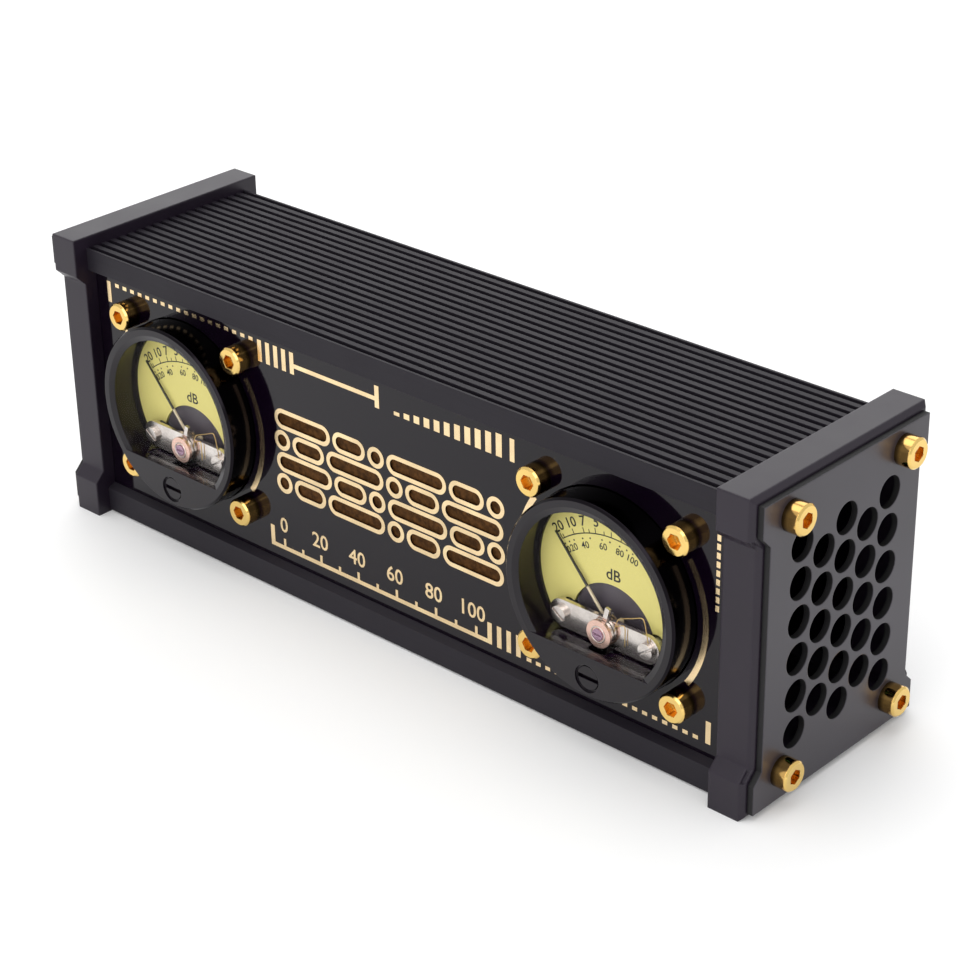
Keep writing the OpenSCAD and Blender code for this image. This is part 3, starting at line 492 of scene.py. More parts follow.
def soft_edges():
    """Edges that catch the light: the rounded normal, and a mask that goes from nought to one where the dot
    product of the rounded and the flat normal goes from 1 to 0.75. The mask places the painted highlight on
    rounded edges."""
    def build(w, given, result):
        rounded = w.node("ShaderNodeBevel", {"Radius": given.outputs["Radius"]}, samples=4)
        flat = w.node("ShaderNodeNewGeometry")
        likeness = w.node("ShaderNodeVectorMath", operation="DOT_PRODUCT")
        w.feed(likeness.inputs[0], rounded.outputs[0])
        w.feed(likeness.inputs[1], flat.outputs["Normal"])
        w.feed(result.inputs["Normal"], rounded.outputs[0])
        w.feed(result.inputs["Edge"], w.span(likeness.outputs["Value"], 1.0, 0.75))

    return shared_group(
        "Soft edges",
        [("Radius", "NodeSocketFloat", 0.15 * MM)],
        [("Normal", "NodeSocketVector"), ("Edge", "NodeSocketFloat")],
        build,
    )


def distance_from_axis():
    """How far a point lies from an axis along Y through the given centre."""
    def build(w, given, result):
        apart = w.node("ShaderNodeVectorMath", operation="SUBTRACT")
        w.feed(apart.inputs[0], given.outputs["Place"])
        w.feed(apart.inputs[1], given.outputs["Centre"])
        flat = w.node("ShaderNodeVectorMath", operation="MULTIPLY")
        w.feed(flat.inputs[0], apart.outputs[0])
        w.feed(flat.inputs[1], (1.0, 0.0, 1.0))
        length = w.node("ShaderNodeVectorMath", operation="LENGTH")
        w.feed(length.inputs[0], flat.outputs[0])
        w.feed(result.inputs["Radius"], length.outputs["Value"])

    return shared_group(
        "Distance from axis",
        [("Place", "NodeSocketVector", None), ("Centre", "NodeSocketVector", (0.0, 0.0, 0.0))],
        [("Radius", "NodeSocketFloat")],
        build,
    )


# ---- Finishes ----


class Finish(Wiring):
    """A material with its Principled shader and the object's own coordinates."""

    def __init__(self, name, metallic=0.0, roughness=0.4, ior=1.5, colour=(0.5, 0.5, 0.5)):
        self.material = bpy.data.materials.new(name)
        self.material.use_nodes = True
        super().__init__(self.material.node_tree)
        self.tree.nodes.clear()
        self.shader = self.node("ShaderNodeBsdfPrincipled", {
            "Base Color": rgba(colour), "Metallic": metallic, "Roughness": roughness, "IOR": ior,
        })
        self.output = self.node("ShaderNodeOutputMaterial", {"Surface": self.shader.outputs[0]})
        self.place = self.node("ShaderNodeTexCoord").outputs["Object"]

    def set(self, **inputs):
        """Feeds the shader's inputs, whose names have _ for a space."""
        for key, value in inputs.items():
            self.feed(self.shader.inputs[key.replace("_", " ")], value)

    def group(self, made, **inputs):
        """A shared group with its inputs, whose names are written small."""
        holder = self.node("ShaderNodeGroup", node_tree=made)
        for key, value in inputs.items():
            self.feed(holder.inputs[key.capitalize()], value)
        return holder

    def grain(self, scale, roughness, spread):
        """Fine grain over the object."""
        return self.group(
            fine_grain(), place=self.place, scale=scale, roughness=roughness, spread=spread,
        )

    def edges(self, radius):
        """Edges rounded by a radius."""
        return self.group(soft_edges(), radius=radius)

    def axes(self):
        """The object's x, y and z, each by itself."""
        return self.node("ShaderNodeSeparateXYZ", {"Vector": self.place}).outputs

    def distance(self, place, centre):
        """How far a place lies from an axis along Y, whose x and z are given."""
        x, z = centre
        made = self.group(distance_from_axis(), place=place, centre=(x, 0.0, z))
        return made.outputs["Radius"]

    def shaded(self, colour, shade):
        """The colour, lighter and darker by the shade."""
        if not isinstance(colour, bpy.types.NodeSocket):
            colour = tuple(colour)
        made = self.node("ShaderNodeVectorMath", operation="SCALE")
        self.feed(made.inputs[0], colour)
        self.feed(made.inputs["Scale"], shade)
        return made.outputs[0]

    def painted_edge_highlight(self, colour, shade, edges, light):
        """The shaded colour, and on the rounded edges a painted highlight: the colour made lighter."""
        flat = self.shaded(colour, shade)
        return self.mix(edges.outputs["Edge"], flat, self.shaded(colour, light))

    def rougher(self, grain, mask, more):
        """The grain's roughness, and more of it where the mask is one."""
        return self.math("ADD", grain.outputs["Roughness"], self.math("MULTIPLY", mask, more))

    def bump(self, height, strength, distance, normal=None):
        """Raises the surface by the height, over the rounded normal where there is one."""
        made = self.node("ShaderNodeBump", {
            "Height": height, "Strength": strength, "Distance": distance,
        })
        if normal is not None:
            self.feed(made.inputs["Normal"], normal)
        self.set(Normal=made.outputs[0])


GRAIN_BUMP = 0.4  # strength of moulded and lacquered grain


def grained(
    name, colour, roughness, spread, scale, depth, edge_radius, painted_edge_light,
    metallic=0.0, ior=1.5,
):
    """A grained surface whose edges are rounded and carry a painted highlight that makes them a little lighter."""
    f = Finish(name, metallic=metallic, ior=ior)
    grain = f.grain(scale, roughness, spread)
    edges = f.edges(edge_radius)
    f.set(Base_Color=f.painted_edge_highlight(colour, grain.outputs["Shade"], edges, painted_edge_light))
    f.set(Roughness=grain.outputs["Roughness"])
    f.bump(grain.outputs["Height"], GRAIN_BUMP, depth, edges.outputs["Normal"])
    return f.material


def anodised_finish(name):
    """Dull anodised metal with the drawn lines of an extrusion, and a painted highlight on its edges."""
    f = Finish(name, ior=1.39)
    lines = f.group(drawn_lines(), place=f.place, scale=5000.0)
    grain = f.grain(scale=2600.0, roughness=0.6, spread=0.12)
    edges = f.edges(0.14 * MM)
    f.set(Base_Color=f.painted_edge_highlight(colours().anodised, lines.outputs["Shade"], edges, light=1.6))
    f.set(Roughness=grain.outputs["Roughness"])
    f.bump(lines.outputs["Height"], 0.25, 0.01 * MM, edges.outputs["Normal"])
    return f.material


def frame_finish(name):
    """Matt paint with broad, soft edges, which carry a painted highlight."""
    return grained(
        name, colours().end_frame, roughness=0.4, spread=0.12, scale=3500.0, depth=0.012 * MM,
        edge_radius=0.55 * MM, painted_edge_light=1.5, ior=1.46,
    )


def plate_finish(name):
    """Lacquer on the plate's outer face. Painted shade makes the walls behind that face nearly black, and a
    painted highlight lightens the edges.
    """
    face_depth, wall_shade, wall_roughness = 0.1 * MM, 0.08, 0.35
    f = Finish(name)
    grain = f.grain(scale=1500.0, roughness=0.3, spread=0.08)
    edges = f.edges(0.3 * MM)
    x = f.math("ABSOLUTE", f.axes()["X"])
    # Painted shade: walls in the holes and round the plate's sides are drawn nearly black and rougher.
    wall = f.math("LESS_THAN", x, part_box("right_end_plate")[1].x - face_depth)
    lacquer = f.painted_edge_highlight(colours().end_plate, grain.outputs["Shade"], edges, light=1.4)
    f.set(Base_Color=f.mix(wall, lacquer, f.shaded(colours().end_plate, wall_shade)))
    f.set(Roughness=f.rougher(grain, wall, wall_roughness))
    f.bump(grain.outputs["Height"], GRAIN_BUMP, 0.003 * MM, edges.outputs["Normal"])
    return f.material


def gold_finish(name):
    """Polished plating with painted shade: browner in the sockets and on the heads' sides, and darker towards
    their seats. The depth behind a head's face runs along Y for the meters' screws and along X for the end screws."""
    face_depth, seat_shade_from, seat_shade_at = 0.3 * MM, 1.85 * MM, 2.6 * MM
    f = Finish(name, metallic=1.0)
    grain = f.grain(scale=1800.0, roughness=0.13, spread=0.08)
    edges = f.edges(0.2 * MM)
    axes = f.axes()
    x = f.math("ABSOLUTE", axes["X"])
    on_end = f.math("GREATER_THAN", x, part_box("right_end_frame")[0].x)
    on_front = f.math("SUBTRACT", 1.0, on_end)
    from_end = f.math("SUBTRACT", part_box("right_end_screws")[1].x, x)
    from_front = f.math("SUBTRACT", axes["Y"], front_of("meter_screws"))
    depth = f.math(
        "ADD", f.math("MULTIPLY", on_end, from_end), f.math("MULTIPLY", on_front, from_front),
    )
    # Painted shade: the sides and sockets are browner, and darker still towards the seats.
    side = f.math("GREATER_THAN", depth, face_depth)
    gold_with_side_shade = f.mix(side, rgba(colours().gold), rgba(colours().screw_side_shade))
    dull = f.span(depth, seat_shade_from, seat_shade_at)
    colour = f.mix(dull, gold_with_side_shade, rgba(colours().screw_seat_shade))
    f.set(Base_Color=f.shaded(colour, grain.outputs["Shade"]))
    f.set(Roughness=grain.outputs["Roughness"])
    f.bump(grain.outputs["Height"], 0.1, 0.01 * MM, edges.outputs["Normal"])
    return f.material


def panel_finish(name):
    """Glossy lacquer, with dull brown copper where the slots are sunk."""
    floor_depth, floor_band, floor_roughness = 0.25 * MM, 0.06 * MM, 0.45
    f = Finish(name, ior=1.40)
    floor_y = front_of("front_panel") + floor_depth
    off_floor = f.math("ABSOLUTE", f.math("SUBTRACT", f.axes()["Y"], floor_y))
    sunk = f.math("LESS_THAN", off_floor, floor_band)
    blotch = f.noise(f.place, 900.0, 4.0, 0.6)
    copper = f.shaded(colours().slot_floor, f.span(blotch, 0.35, 0.65, 0.55, 1.45))
    grain = f.grain(scale=1200.0, roughness=0.07, spread=0.05)
    f.set(Base_Color=f.mix(sunk, rgba(colours().panel), copper), Metallic=sunk)
    f.set(Roughness=f.rougher(grain, sunk, floor_roughness))
    f.bump(grain.outputs["Height"], 0.04, 0.004 * MM)
    return f.material


def track_finish(name):
    """Satin gold plating with a fine grain."""
    f = Finish(name, metallic=1.0)
    grain = f.grain(scale=5000.0, roughness=0.22, spread=0.1)
    f.set(Base_Color=f.shaded(colours().track, grain.outputs["Shade"]))
    f.set(Roughness=grain.outputs["Roughness"])
    f.bump(grain.outputs["Height"], 0.3, 0.01 * MM)
    return f.material


def meter_finish(name):
    """Glossy moulding. The rim's chamfer and the wall behind it mirror about half as much as the front: a painted
    shade that darkens them. Both meters share it: their centres are mirror images, so the distance is taken from
    |x|."""
    f = Finish(name, ior=1.44)
    grain = f.grain(scale=2000.0, roughness=0.14, spread=0.06)
    edges = f.edges(0.2 * MM)
    axes = f.axes()
    folded = f.node("ShaderNodeCombineXYZ", {
        "X": f.math("ABSOLUTE", axes["X"]), "Y": axes["Y"], "Z": axes["Z"],
    })
    away = f.distance(folded.outputs[0], meter_centre("right"))
    # Painted shade: beyond the bezel rim, the chamfer and outer wall take the darker mirror colour.
    rim = f.math("GREATER_THAN", away, sizes().bezel_rim)
    # Painted highlight on the rounded edges.
    front = f.painted_edge_highlight(colours().meter, grain.outputs["Shade"], edges, light=1.4)
    f.set(Base_Color=f.mix(rim, front, rgba(colours().meter_rim_shade)), Metallic=rim)
    f.set(Roughness=grain.outputs["Roughness"])
    f.bump(grain.outputs["Height"], GRAIN_BUMP, 0.002 * MM, edges.outputs["Normal"])
    return f.material


def coil_finish(name):
    """Enamelled wire: fine turns side by side across the winding's depth."""
    f = Finish(name, metallic=0.9, roughness=0.3)
    wave = f.node("ShaderNodeTexWave", {"Vector": f.place, "Scale": 1600.0}, bands_direction="X")
    turns = wave.outputs["Fac"]
    f.set(Base_Color=f.shaded((0.62, 0.26, 0.09), f.span(turns, 0.0, 1.0, 0.6, 1.1)))
    f.bump(turns, 0.5, 0.05 * MM)
    return f.material


def needle_finish(name, side):
    """Dark lacquer on the blade in front of the dial, bare pale metal round the hub."""
    bare_radius, lacquer_radius = 7.6 * MM, 7.9 * MM
    f = Finish(name, roughness=0.4)
    away = f.distance(f.place, pivot_of(side))
    bare = f.span(away, lacquer_radius, bare_radius)
    grain = f.shade(f.noise(f.place, 4000.0), 0.9, 1.1)
    lacquer = f.shaded((0.03, 0.027, 0.02), grain)
    metal = f.shaded((0.62, 0.52, 0.36), grain)
    f.set(Base_Color=f.mix(bare, lacquer, metal))
    f.bump(grain, 0.2, 0.004 * MM)
    return f.material


def bridge_finish(name):
    """Polished plating on a stamped bar, whose slow waves bend what it mirrors. Painted light and shade make the
    waves' crests lighter and their hollows darker.
    """
    lit_crest, shaded_hollow = (0.80, 0.75, 0.71), (0.68, 0.62, 0.58)
    f = Finish(name, metallic=1.0)
    waves = f.noise(f.place, 420.0, 3.0, 0.55)
    grain = f.grain(scale=2500.0, roughness=0.2, spread=0.12)
    edges = f.edges(0.12 * MM)
    # Painted light and shade: the waves' crests lighter, their hollows darker.
    f.set(Base_Color=f.mix(f.span(waves, 0.35, 0.65), rgba(lit_crest), rgba(shaded_hollow)))
    f.set(Roughness=grain.outputs["Roughness"])
    f.bump(waves, 0.2, 0.1 * MM, edges.outputs["Normal"])
    return f.material


def hub_finish(name, side):
    """Copper-plated disc with turned rings round its centre."""
    bearing_radius, ring_pitch = 1.1 * MM, 0.22 * MM
    plating, bearing = (0.86, 0.58, 0.48), (0.42, 0.27, 0.36)
    f = Finish(name, metallic=0.9, roughness=0.26)
    away = f.distance(f.place, pivot_of(side))
    inner = f.math("LESS_THAN", away, bearing_radius)
    rings = f.math("SINE", f.math("MULTIPLY", away, 2 * math.pi / ring_pitch))
    edges = f.edges(0.12 * MM)
    copper = f.shaded(plating, f.span(rings, -1.0, 1.0, 0.85, 1.1))
    f.set(Base_Color=f.mix(inner, copper, rgba(bearing)))
    f.bump(rings, 0.2, 0.015 * MM, edges.outputs["Normal"])
    return f.material


def dial_finish(name):
    """Printed card: a faint fibre, and its colour drawn slightly darker towards its lower edge."""
    f = Finish(name, roughness=0.55)
    low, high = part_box("left_dial")
    fall = f.span(f.axes()["Z"], low.z, high.z, 0.86, 1.03)
    fibre = f.shade(f.noise(f.place, 5200.0, 3.0), 0.96, 1.04)
    f.set(Base_Color=f.shaded(colours().dial, f.math("MULTIPLY", fall, fibre)))
    f.bump(fibre, 0.08, 0.01 * MM)
    return f.material


def board_finish(name):
    """Green lacquer, lighter and raised where copper lies under it."""
    bare, over_copper, copper_level = (0.012, 0.09, 0.035), (0.02, 0.13, 0.05), 0.52
    f = Finish(name, roughness=0.3)
    copper = f.math("GREATER_THAN", f.noise(f.place, 260.0), copper_level)
    f.set(Base_Color=f.mix(copper, rgba(bare), rgba(over_copper)))
    f.bump(copper, 0.2, 0.03 * MM)
    return f.material


def window_finish(name):
    """Clear moulded window. Shadow rays pass straight through, so that the dial behind it is
    lit."""
    f = Finish(name, roughness=0.0, ior=1.06, colour=(1.0, 1.0, 1.0))
    f.set(Transmission_Weight=1.0)
    f.bump(f.noise(f.place, 90.0, 1.0), 0.02, 0.05 * MM)
    clear = f.node("ShaderNodeBsdfTransparent")
    rays = f.node("ShaderNodeLightPath")
    chosen = f.node("ShaderNodeMixShader", {"Fac": rays.outputs["Is Shadow Ray"]})
    f.feed(chosen.inputs[1], f.shader.outputs[0])
    f.feed(chosen.inputs[2], clear.outputs[0])
    f.feed(f.output.inputs["Surface"], chosen.outputs[0])
    return f.material


def ink_finish(name, colour):
    """Ink or paint that lies a little unevenly."""
    f = Finish(name, roughness=0.5)
    f.set(Base_Color=f.shaded(colour, f.shade(f.noise(f.place, 6000.0), 0.8, 1.25)))
    return f.material


# Finishes that are no more than a grained colour, with a painted highlight on their edges.
GRAINED_FINISHES = {
    "knob_black": dict(
        colour=(0.025, 0.024, 0.026), roughness=0.5, spread=0.1, scale=4000.0,
        depth=0.01 * MM, edge_radius=0.15 * MM, painted_edge_light=1.5,
    ),
    "component_dark": dict(
        colour=(0.03, 0.03, 0.034), roughness=0.35, spread=0.1, scale=3000.0,
        depth=0.006 * MM, edge_radius=0.1 * MM, painted_edge_light=1.4,
    ),
    "shade_dark": dict(
        colour=(0.06, 0.05, 0.062), roughness=0.4, spread=0.08, scale=2600.0,
        depth=0.003 * MM, edge_radius=0.05 * MM, painted_edge_light=1.2,
    ),
    "iron_dark": dict(
        colour=(0.05, 0.05, 0.055), roughness=0.45, spread=0.15, scale=2500.0,
        depth=0.01 * MM, edge_radius=0.1 * MM, painted_edge_light=1.6, metallic=0.7,
    ),
    "brass_part": dict(
        colour=(0.72, 0.5, 0.2), roughness=0.3, spread=0.12, scale=3000.0,
        depth=0.006 * MM, edge_radius=0.1 * MM, painted_edge_light=1.2, metallic=1.0,
    ),
    "steel_part": dict(
        colour=(0.56, 0.56, 0.58), roughness=0.32, spread=0.12, scale=3000.0,
        depth=0.006 * MM, edge_radius=0.1 * MM, painted_edge_light=1.2, metallic=1.0,
    ),
}
SLOT_FINISHES = {
    "anodised_black": anodised_finish,
    "frame_black": frame_finish,
    "plate_black": plate_finish,
    "gold_screw": gold_finish,
    "panel_gloss": panel_finish,
    "gold_track": track_finish,
    "board_green": board_finish,
    "meter_black": meter_finish,
    "clear_window": window_finish,
    "dial_yellow": dial_finish,
    "bridge_silver": bridge_finish,
    "coil_copper": coil_finish,
}
# These finishes have a centre, so each side has its own.
SIDE_FINISHES = {"hub_copper": hub_finish, "needle_dark": needle_finish}


def finish_for(slot):
    """The slot's material, made when it is first asked for."""
    name = f"finish_{slot}"
    made = bpy.data.materials.get(name)
    if made:
        return made
    if slot in GRAINED_FINISHES:
        return grained(name, **GRAINED_FINISHES[slot])
    return SLOT_FINISHES[slot](name)


# ---- Operators ----


class LEVELMETER_OT_finishes(bpy.types.Operator):
    """Give every solid of the frame its finish"""

    bl_idname = "level_meter.finishes"
    bl_label = "Finish the solids"

    def execute(self, context):
        for row in frame["record"]["subparts"]:
            node, slot = row["node"], row["material_slot"]
            if slot in SIDE_FINISHES:
                side = node.split("_")[0]
                material = SIDE_FINISHES[slot](f"finish_{node}", side)
            else:
                material = finish_for(slot)
            solid = frame["nodes"][node]
            solid.data.materials.clear()
            solid.data.materials.append(material)
        return {"FINISHED"}


# What the dials' scales say, and where: degrees clockwise from upright, seen from the front
UPPER_SCALE = (
    ("20", -38.4), ("10", -28.6), ("7", -20.9), ("5", -12.5), ("3", -1.7), ("2", 5.0),
    ("1", 12.5), ("0", 20.5), ("1", 26.5), ("2", 32.5), ("3", 38.4),
)
UPPER_MINOR = (-36.8, -17.0, -6.6)
LOWER_SCALE = (
    ("0", -38.0), ("20", -33.0), ("40", -23.0), ("60", -8.3), ("80", 4.7), ("100", 15.0),
)
LOWER_DOTS = (-38.5, -34.6, -30.5, -23.4, -17.5, -8.6, -2.8, 4.2, 9.4, 13.8)
UPPER_SHIFT = 1.2  # the upper numerals stand a little to the right of their ticks
RED_ARC = (20.5, 38.6)  # from the zero to the arc's right end

# How the dials' print is drawn, in millimetres. Lifts are above the arc's radius.
ARC_WIDTH, ARC_LIFT = 0.2, -0.12
RED_WIDTH, RED_LIFT = 0.75, 0.1
TICK_HALF_WIDTH, MAJOR_TICK, MINOR_TICK = 0.085, 1.0, 0.7
DOT_RADIUS, DOT_LIFT = 0.17, -0.95
DOT_HOLE = 0.0001  # too small to be seen, it keeps the dots' profile off their axis
UPPER_LIFT, LOWER_LIFT = 2.15, -2.1
UNIT_LIFT = 2.2  # above the meter's centre


class LEVELMETER_OT_dial_print(bpy.types.Operator):
    """Print the scales, numerals and unit on both dials"""

    bl_idname = "level_meter.dial_print"
    bl_label = "Print the dials"

    def execute(self, context):
        ink = ink_finish("dial_ink", colours().ink)
        red = ink_finish("dial_red", colours().red_ink)
        for side in SIDES:
            marks = make_piece(f"{side}_dial_marks", *gather(self.marks(side)))
            dress(marks, CASE, ink)
            band = self.arc_piece(side, RED_WIDTH, RED_LIFT, *RED_ARC)
            dress(make_piece(f"{side}_red_arc", *band), CASE, red)
        return {"FINISHED"}

    def on_dial(self, side, radius, degrees):
        """The x and z at a radius from the arc's centre and an angle from upright."""
        x, z = meter_centre(side)
        a = math.radians(degrees)
        centre = np.array([x, z - sizes().scale_drop])
        return centre + radius * np.array([math.sin(a), math.cos(a)])

    def arc_piece(self, side, width, lift, start, end):
        """A bar along the arc, from start to end in degrees. Width and lift are millimetres."""
        face = front_of(f"{side}_dial")
        inner = sizes().scale_radius + lift * MM
        return arc_bar(
            self.on_dial(side, 0.0, 0.0), inner, inner + width * MM,
            math.radians(start), math.radians(end), face, face - sizes().print_thickness,
        )

    def marks(self, side):
        """The dark print of a dial: the arc, its ticks and dots, the numerals and the unit."""
        s = sizes()
        face, thick = front_of(f"{side}_dial"), s.print_thickness
        half = math.degrees(s.scale_half_angle)
        parts = [self.arc_piece(side, ARC_WIDTH, ARC_LIFT, -half, half)]
        half_tick = math.degrees(TICK_HALF_WIDTH * MM / s.scale_radius)
        ticks = [(angle, MAJOR_TICK) for _, angle in UPPER_SCALE]
        ticks += [(angle, MINOR_TICK) for angle in UPPER_MINOR]
        for angle, length in ticks:
            parts.append(self.arc_piece(side, length, 0.0, angle - half_tick, angle + half_tick))
        dot = [
            (DOT_HOLE * MM, face - thick), (DOT_RADIUS * MM, face - thick),
            (DOT_RADIUS * MM, face), (DOT_HOLE * MM, face),
        ]
        for angle in LOWER_DOTS:
            spot = self.on_dial(side, s.scale_radius + DOT_LIFT * MM, angle)
            parts.append(turned(dot, spot, segments=12))
        rows = (
            (UPPER_SCALE, s.scale_radius + UPPER_LIFT * MM, s.upper_numeral, UPPER_SHIFT),
            (LOWER_SCALE, s.scale_radius + LOWER_LIFT * MM, s.lower_numeral, 0.0),
        )
        for scale, radius, height, shift in rows:
            for text, angle in scale:
                spot = self.on_dial(side, radius, angle + shift)
                turn = math.radians(angle + shift)
                parts.append(lettering(text, height, spot, turn, face, thick))
        unit = meter_centre(side) + np.array([0.0, UNIT_LIFT * MM])
        parts.append(lettering("dB", s.unit_mark, unit, 0.0, face, thick))
        return parts


HUB_FACE_DEPTH = 0.25 * MM  # from the face of the bearing's boss back to the hub's disc
RING_RADIUS, RING_SECTION, RING_LIFT = 1.45 * MM, 0.13 * MM, 0.03 * MM
LEAD_LIFT = 0.35 * MM  # how far the lead wires run in front of the bridge
# The lead wires' routes, in millimetres to the right of the needle's pivot and above it
LEAD_ROUTES = (
    ((2.6, 1.0), (2.9, 2.4), (3.5, 3.7), (4.6, 4.3), (6.6, 5.1), (8.4, 5.8), (9.0, 5.2),
     (9.4, 3.6), (9.8, 1.6)),
    ((3.0, 2.2), (3.8, 2.6), (4.6, 2.9), (4.9, 2.4), (4.9, 0.8), (4.9, -1.0)),
)


class LEVELMETER_OT_movement(bpy.types.Operator):
    """Add the ring on each hub's face and the lead wires"""

    bl_idname = "level_meter.movement"
    bl_label = "Add the movements' fine parts"

    def execute(self, context):
        ring_finish = finish_for("bridge_silver")
        wire_finish = finish_for("brass_part")
        for side in SIDES:
            ring = make_piece(f"{side}_hub_ring", *self.hub_ring(side), smooth=True)
            lead = make_piece(f"{side}_lead_wire", *self.lead_wire(side), smooth=True)
            dress(ring, CASE, ring_finish)
            dress(lead, CASE, wire_finish)
        return {"FINISHED"}

    def hub_ring(self, side):
        """A thin turned ring on the hub's face: a circle of section radius t carried round the
        needle's pivot at radius r."""
        r, t = RING_RADIUS, RING_SECTION
        y = front_of(f"{side}_jewel_screw") + HUB_FACE_DEPTH - RING_LIFT
        a = np.linspace(0, 2 * math.pi, 12, endpoint=False)
        return turned(np.stack([r + t * np.cos(a), y + t * np.sin(a)], axis=1), pivot_of(side))

    def lead_wire(self, side):
        """Two fine wires: from beside the hub out and down to the right bridge screw, and down
        the bridge."""
        y = front_of(f"{side}_bridge") - LEAD_LIFT
        x, z = pivot_of(side)
        strands = []
        for route in LEAD_ROUTES:
            path = smooth_path([(x + dx * MM, y, z + dz * MM) for dx, dz in route])
            strands.append(wire(path, sizes().wire_radius))
        return gather(strands)


PANEL_SCALE = ("0", "20", "40", "60", "80", "100")
PANEL_FIRST, PANEL_LAST = -27.2 * MM, 21.0 * MM  # the x of the first and the last numeral
PANEL_ROW = 13.6 * MM  # the numerals' middle above the floor
PANEL_PRINT = 0.06 * MM  # how far the plated numerals stand off the panel


class LEVELMETER_OT_panel_print(bpy.types.Operator):
    """Number the long scale in the panel's lower band"""

    bl_idname = "level_meter.panel_print"
    bl_label = "Number the panel's scale"

    def execute(self, context):
        face, height = front_of("front_panel"), sizes().panel_numeral
        gaps = len(PANEL_SCALE) - 1
        parts = []
        for k, text in enumerate(PANEL_SCALE):
            spot = (PANEL_FIRST + k * (PANEL_LAST - PANEL_FIRST) / gaps, PANEL_ROW)
            parts.append(lettering(text, height, spot, 0.0, face, PANEL_PRINT))
        numerals = make_piece("panel_numerals", *gather(parts))
        dress(numerals, CASE, finish_for("gold_track"))
        return {"FINISHED"}


MARK_COUNT, MARK_HALF_WIDTH = 11, 0.2 * MM
MARK_IN, MARK_OUT = 1.4 * MM, 2.6 * MM  # beyond the knob's radius
POINTER_HALF_ANGLE = math.radians(2.6)
POINTER_IN, POINTER_OUT = 3.7 * MM, 1.1 * MM  # short of the knob's radius
POINTER_FACE, POINTER_BACK = 0.15 * MM, 0.4 * MM  # depths in the knob's groove


class LEVELMETER_OT_rear_print(bpy.types.Operator):
    """Mark the level knob's range on the rear panel and its pointer on the knob"""

    bl_idname = "level_meter.rear_print"
    bl_label = "Print the rear"

    def execute(self, context):
        paint = ink_finish("rear_paint", colours().paint)
        centre = axis_of("level_knob_turn")
        panel, knob = rear_of("rear_panel"), rear_of("level_knob")
        low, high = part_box("level_knob")
        knob_r = (high.x - low.x) / 2
        half = math.degrees(MARK_HALF_WIDTH / knob_r)
        marks = []
        for angle in np.linspace(*joint_of("level_knob_turn")["range_deg"], MARK_COUNT):
            marks.append(arc_bar(
                centre, knob_r + MARK_IN, knob_r + MARK_OUT,
                math.radians(angle - half), math.radians(angle + half),
                panel + sizes().print_thickness, panel, steps=2,
            ))
        dress(make_piece("knob_range", *gather(marks)), CASE, paint)
        fill = arc_bar(
            centre, knob_r - POINTER_IN, knob_r - POINTER_OUT,
            -POINTER_HALF_ANGLE, POINTER_HALF_ANGLE,
            knob - POINTER_FACE, knob - POINTER_BACK, steps=2,
        )
        dress(make_piece("knob_pointer_fill", *fill), "knob", paint)
        return {"FINISHED"}


FLOOR_HALF = 3.0  # half the floor's side
FLOOR_GLOW = 0.08  # a nearly overexposed table looks lighter than the light that it sends on
SKY_STRENGTH = 0.75
# Each lamp's name, kind, place and power, and the angle or size that makes its shadows soft
LAMPS = (
    ("overhead", "SUN", (-0.15, -0.1, 1.0), 0.9, "angle", math.radians(60.0)),
    ("back_wall", "AREA", (-0.84, 1.10, 0.75), 5.4, "size", 1.3),
    ("front_key", "AREA", (0.25, -1.0, 0.55), 3.6, "size", 0.8),
)
# The camera, solved from the case's edges: place, turns in degrees, and focal length in mm
CAMERA_PLACE = (0.28684, -0.29889, 0.23785)
CAMERA_TURNS = (62.556, 0.836, 42.591)
CAMERA_LENS = 93.63


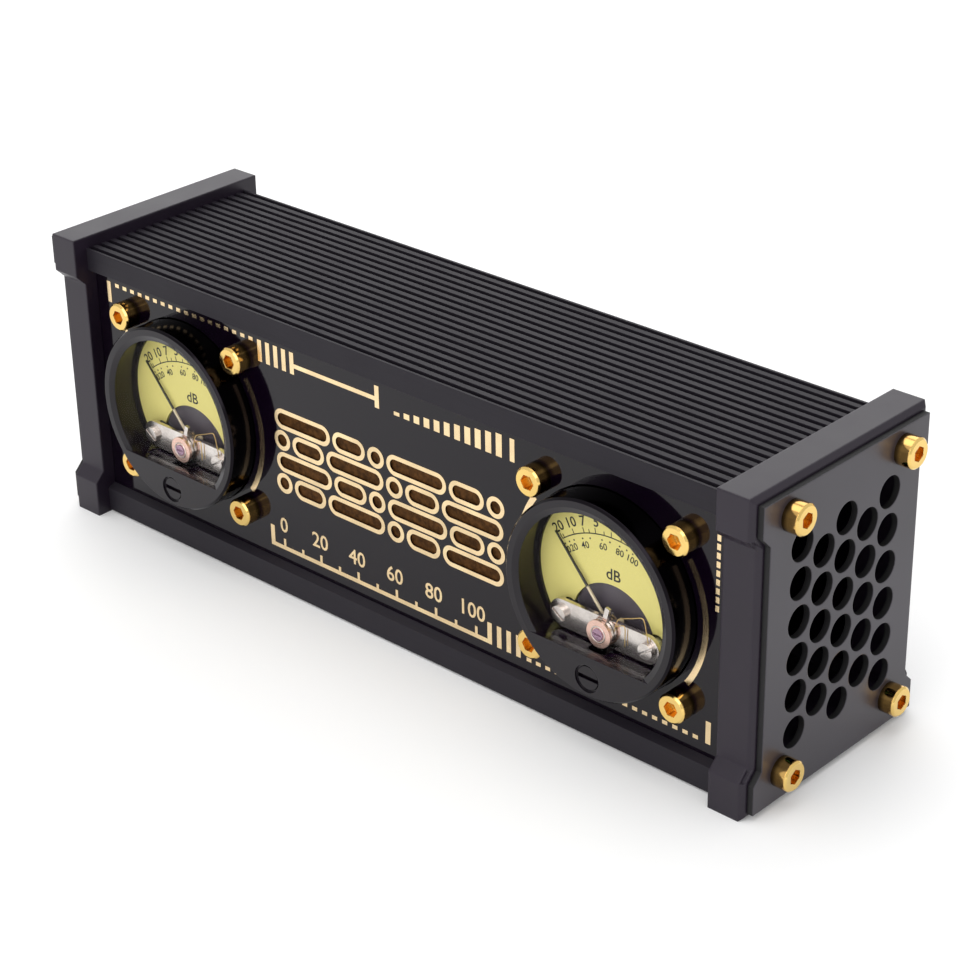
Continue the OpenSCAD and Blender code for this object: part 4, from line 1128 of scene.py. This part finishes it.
class LEVELMETER_OT_stage(bpy.types.Operator):
    """Set up the pale floor, the soft studio light and the camera"""

    bl_idname = "level_meter.stage"
    bl_label = "Set up the studio"

    def execute(self, context):
        self.floor()
        self.sky()
        for lamp in LAMPS:
            self.lamp(*lamp)
        self.camera()
        context.scene.view_settings.view_transform = "Standard"
        return {"FINISHED"}

    def floor(self):
        """A pale square. Only the camera sees its glow, which lights nothing."""
        half = FLOOR_HALF
        corners = [(-half, -half, 0.0), (half, -half, 0.0), (half, half, 0.0), (-half, half, 0.0)]
        floor = make_piece("floor", corners, [(0, 1, 2, 3)])
        f = Finish("pale_floor", roughness=0.7, colour=(0.93, 0.93, 0.93))
        seen = f.node("ShaderNodeLightPath").outputs["Is Camera Ray"]
        f.set(Emission_Color=(1.0, 1.0, 1.0, 1.0))
        f.set(Emission_Strength=f.math("MULTIPLY", seen, FLOOR_GLOW))
        floor.data.materials.append(f.material)

    def sky(self):
        """Even white light from all round."""
        world = bpy.data.worlds.new("studio")
        world.use_nodes = True
        background = world.node_tree.nodes["Background"]
        background.inputs["Color"].default_value = (1.0, 1.0, 1.0, 1.0)
        background.inputs["Strength"].default_value = SKY_STRENGTH
        bpy.context.scene.world = world

    def lamp(self, name, kind, place, power, softness, amount):
        """A lamp at a place that shines towards the middle of the case's floor."""
        lamp = bpy.data.lights.new(name, kind)
        lamp.energy = power
        setattr(lamp, softness, amount)
        holder = bpy.data.objects.new(name, lamp)
        bpy.context.scene.collection.objects.link(holder)
        holder.location = place
        x, y, z = place
        holder.rotation_euler = (math.atan2(math.hypot(x, y), z), 0.0, math.atan2(x, -y))

    def camera(self):
        """The camera at the photograph's place."""
        lens = bpy.data.cameras.new("camera")
        lens.lens = CAMERA_LENS
        lens.sensor_width = 36.0
        lens.clip_start = 0.01
        holder = bpy.data.objects.new("camera", lens)
        bpy.context.scene.collection.objects.link(holder)
        holder.location = CAMERA_PLACE
        holder.rotation_euler = tuple(math.radians(a) for a in CAMERA_TURNS)
        bpy.context.scene.camera = holder


OPERATORS = (
    LEVELMETER_OT_stage,
    LEVELMETER_OT_finishes,
    LEVELMETER_OT_dial_print,
    LEVELMETER_OT_movement,
    LEVELMETER_OT_panel_print,
    LEVELMETER_OT_rear_print,
)


class LEVELMETER_PT_panel(bpy.types.Panel):
    """Lists the sizes, the colours and the steps"""

    bl_idname = "LEVELMETER_PT_panel"
    bl_label = "Level meter"
    bl_space_type = "VIEW_3D"
    bl_region_type = "UI"
    bl_category = "Level meter"

    def draw(self, context):
        layout = self.layout
        for group in (context.scene.level_meter_sizes, context.scene.level_meter_colours):
            box = layout.box()
            for key in group.__annotations__:
                box.prop(group, key)
        for operator in OPERATORS:
            layout.operator(operator.bl_idname)


CLASSES = (LevelMeterSizes, LevelMeterColours, *OPERATORS, LEVELMETER_PT_panel)


def register():
    for cls in CLASSES:
        bpy.utils.register_class(cls)
    bpy.types.Scene.level_meter_sizes = bpy.props.PointerProperty(type=LevelMeterSizes)
    bpy.types.Scene.level_meter_colours = bpy.props.PointerProperty(type=LevelMeterColours)


def unregister():
    del bpy.types.Scene.level_meter_colours
    del bpy.types.Scene.level_meter_sizes
    for cls in reversed(CLASSES):
        bpy.utils.unregister_class(cls)


def main():
    register()
    bpy.ops.level_meter.stage()
    bpy.ops.level_meter.finishes()
    bpy.ops.level_meter.dial_print()
    bpy.ops.level_meter.movement()
    bpy.ops.level_meter.panel_print()
    bpy.ops.level_meter.rear_print()


if __name__ == "__main__":
    main()
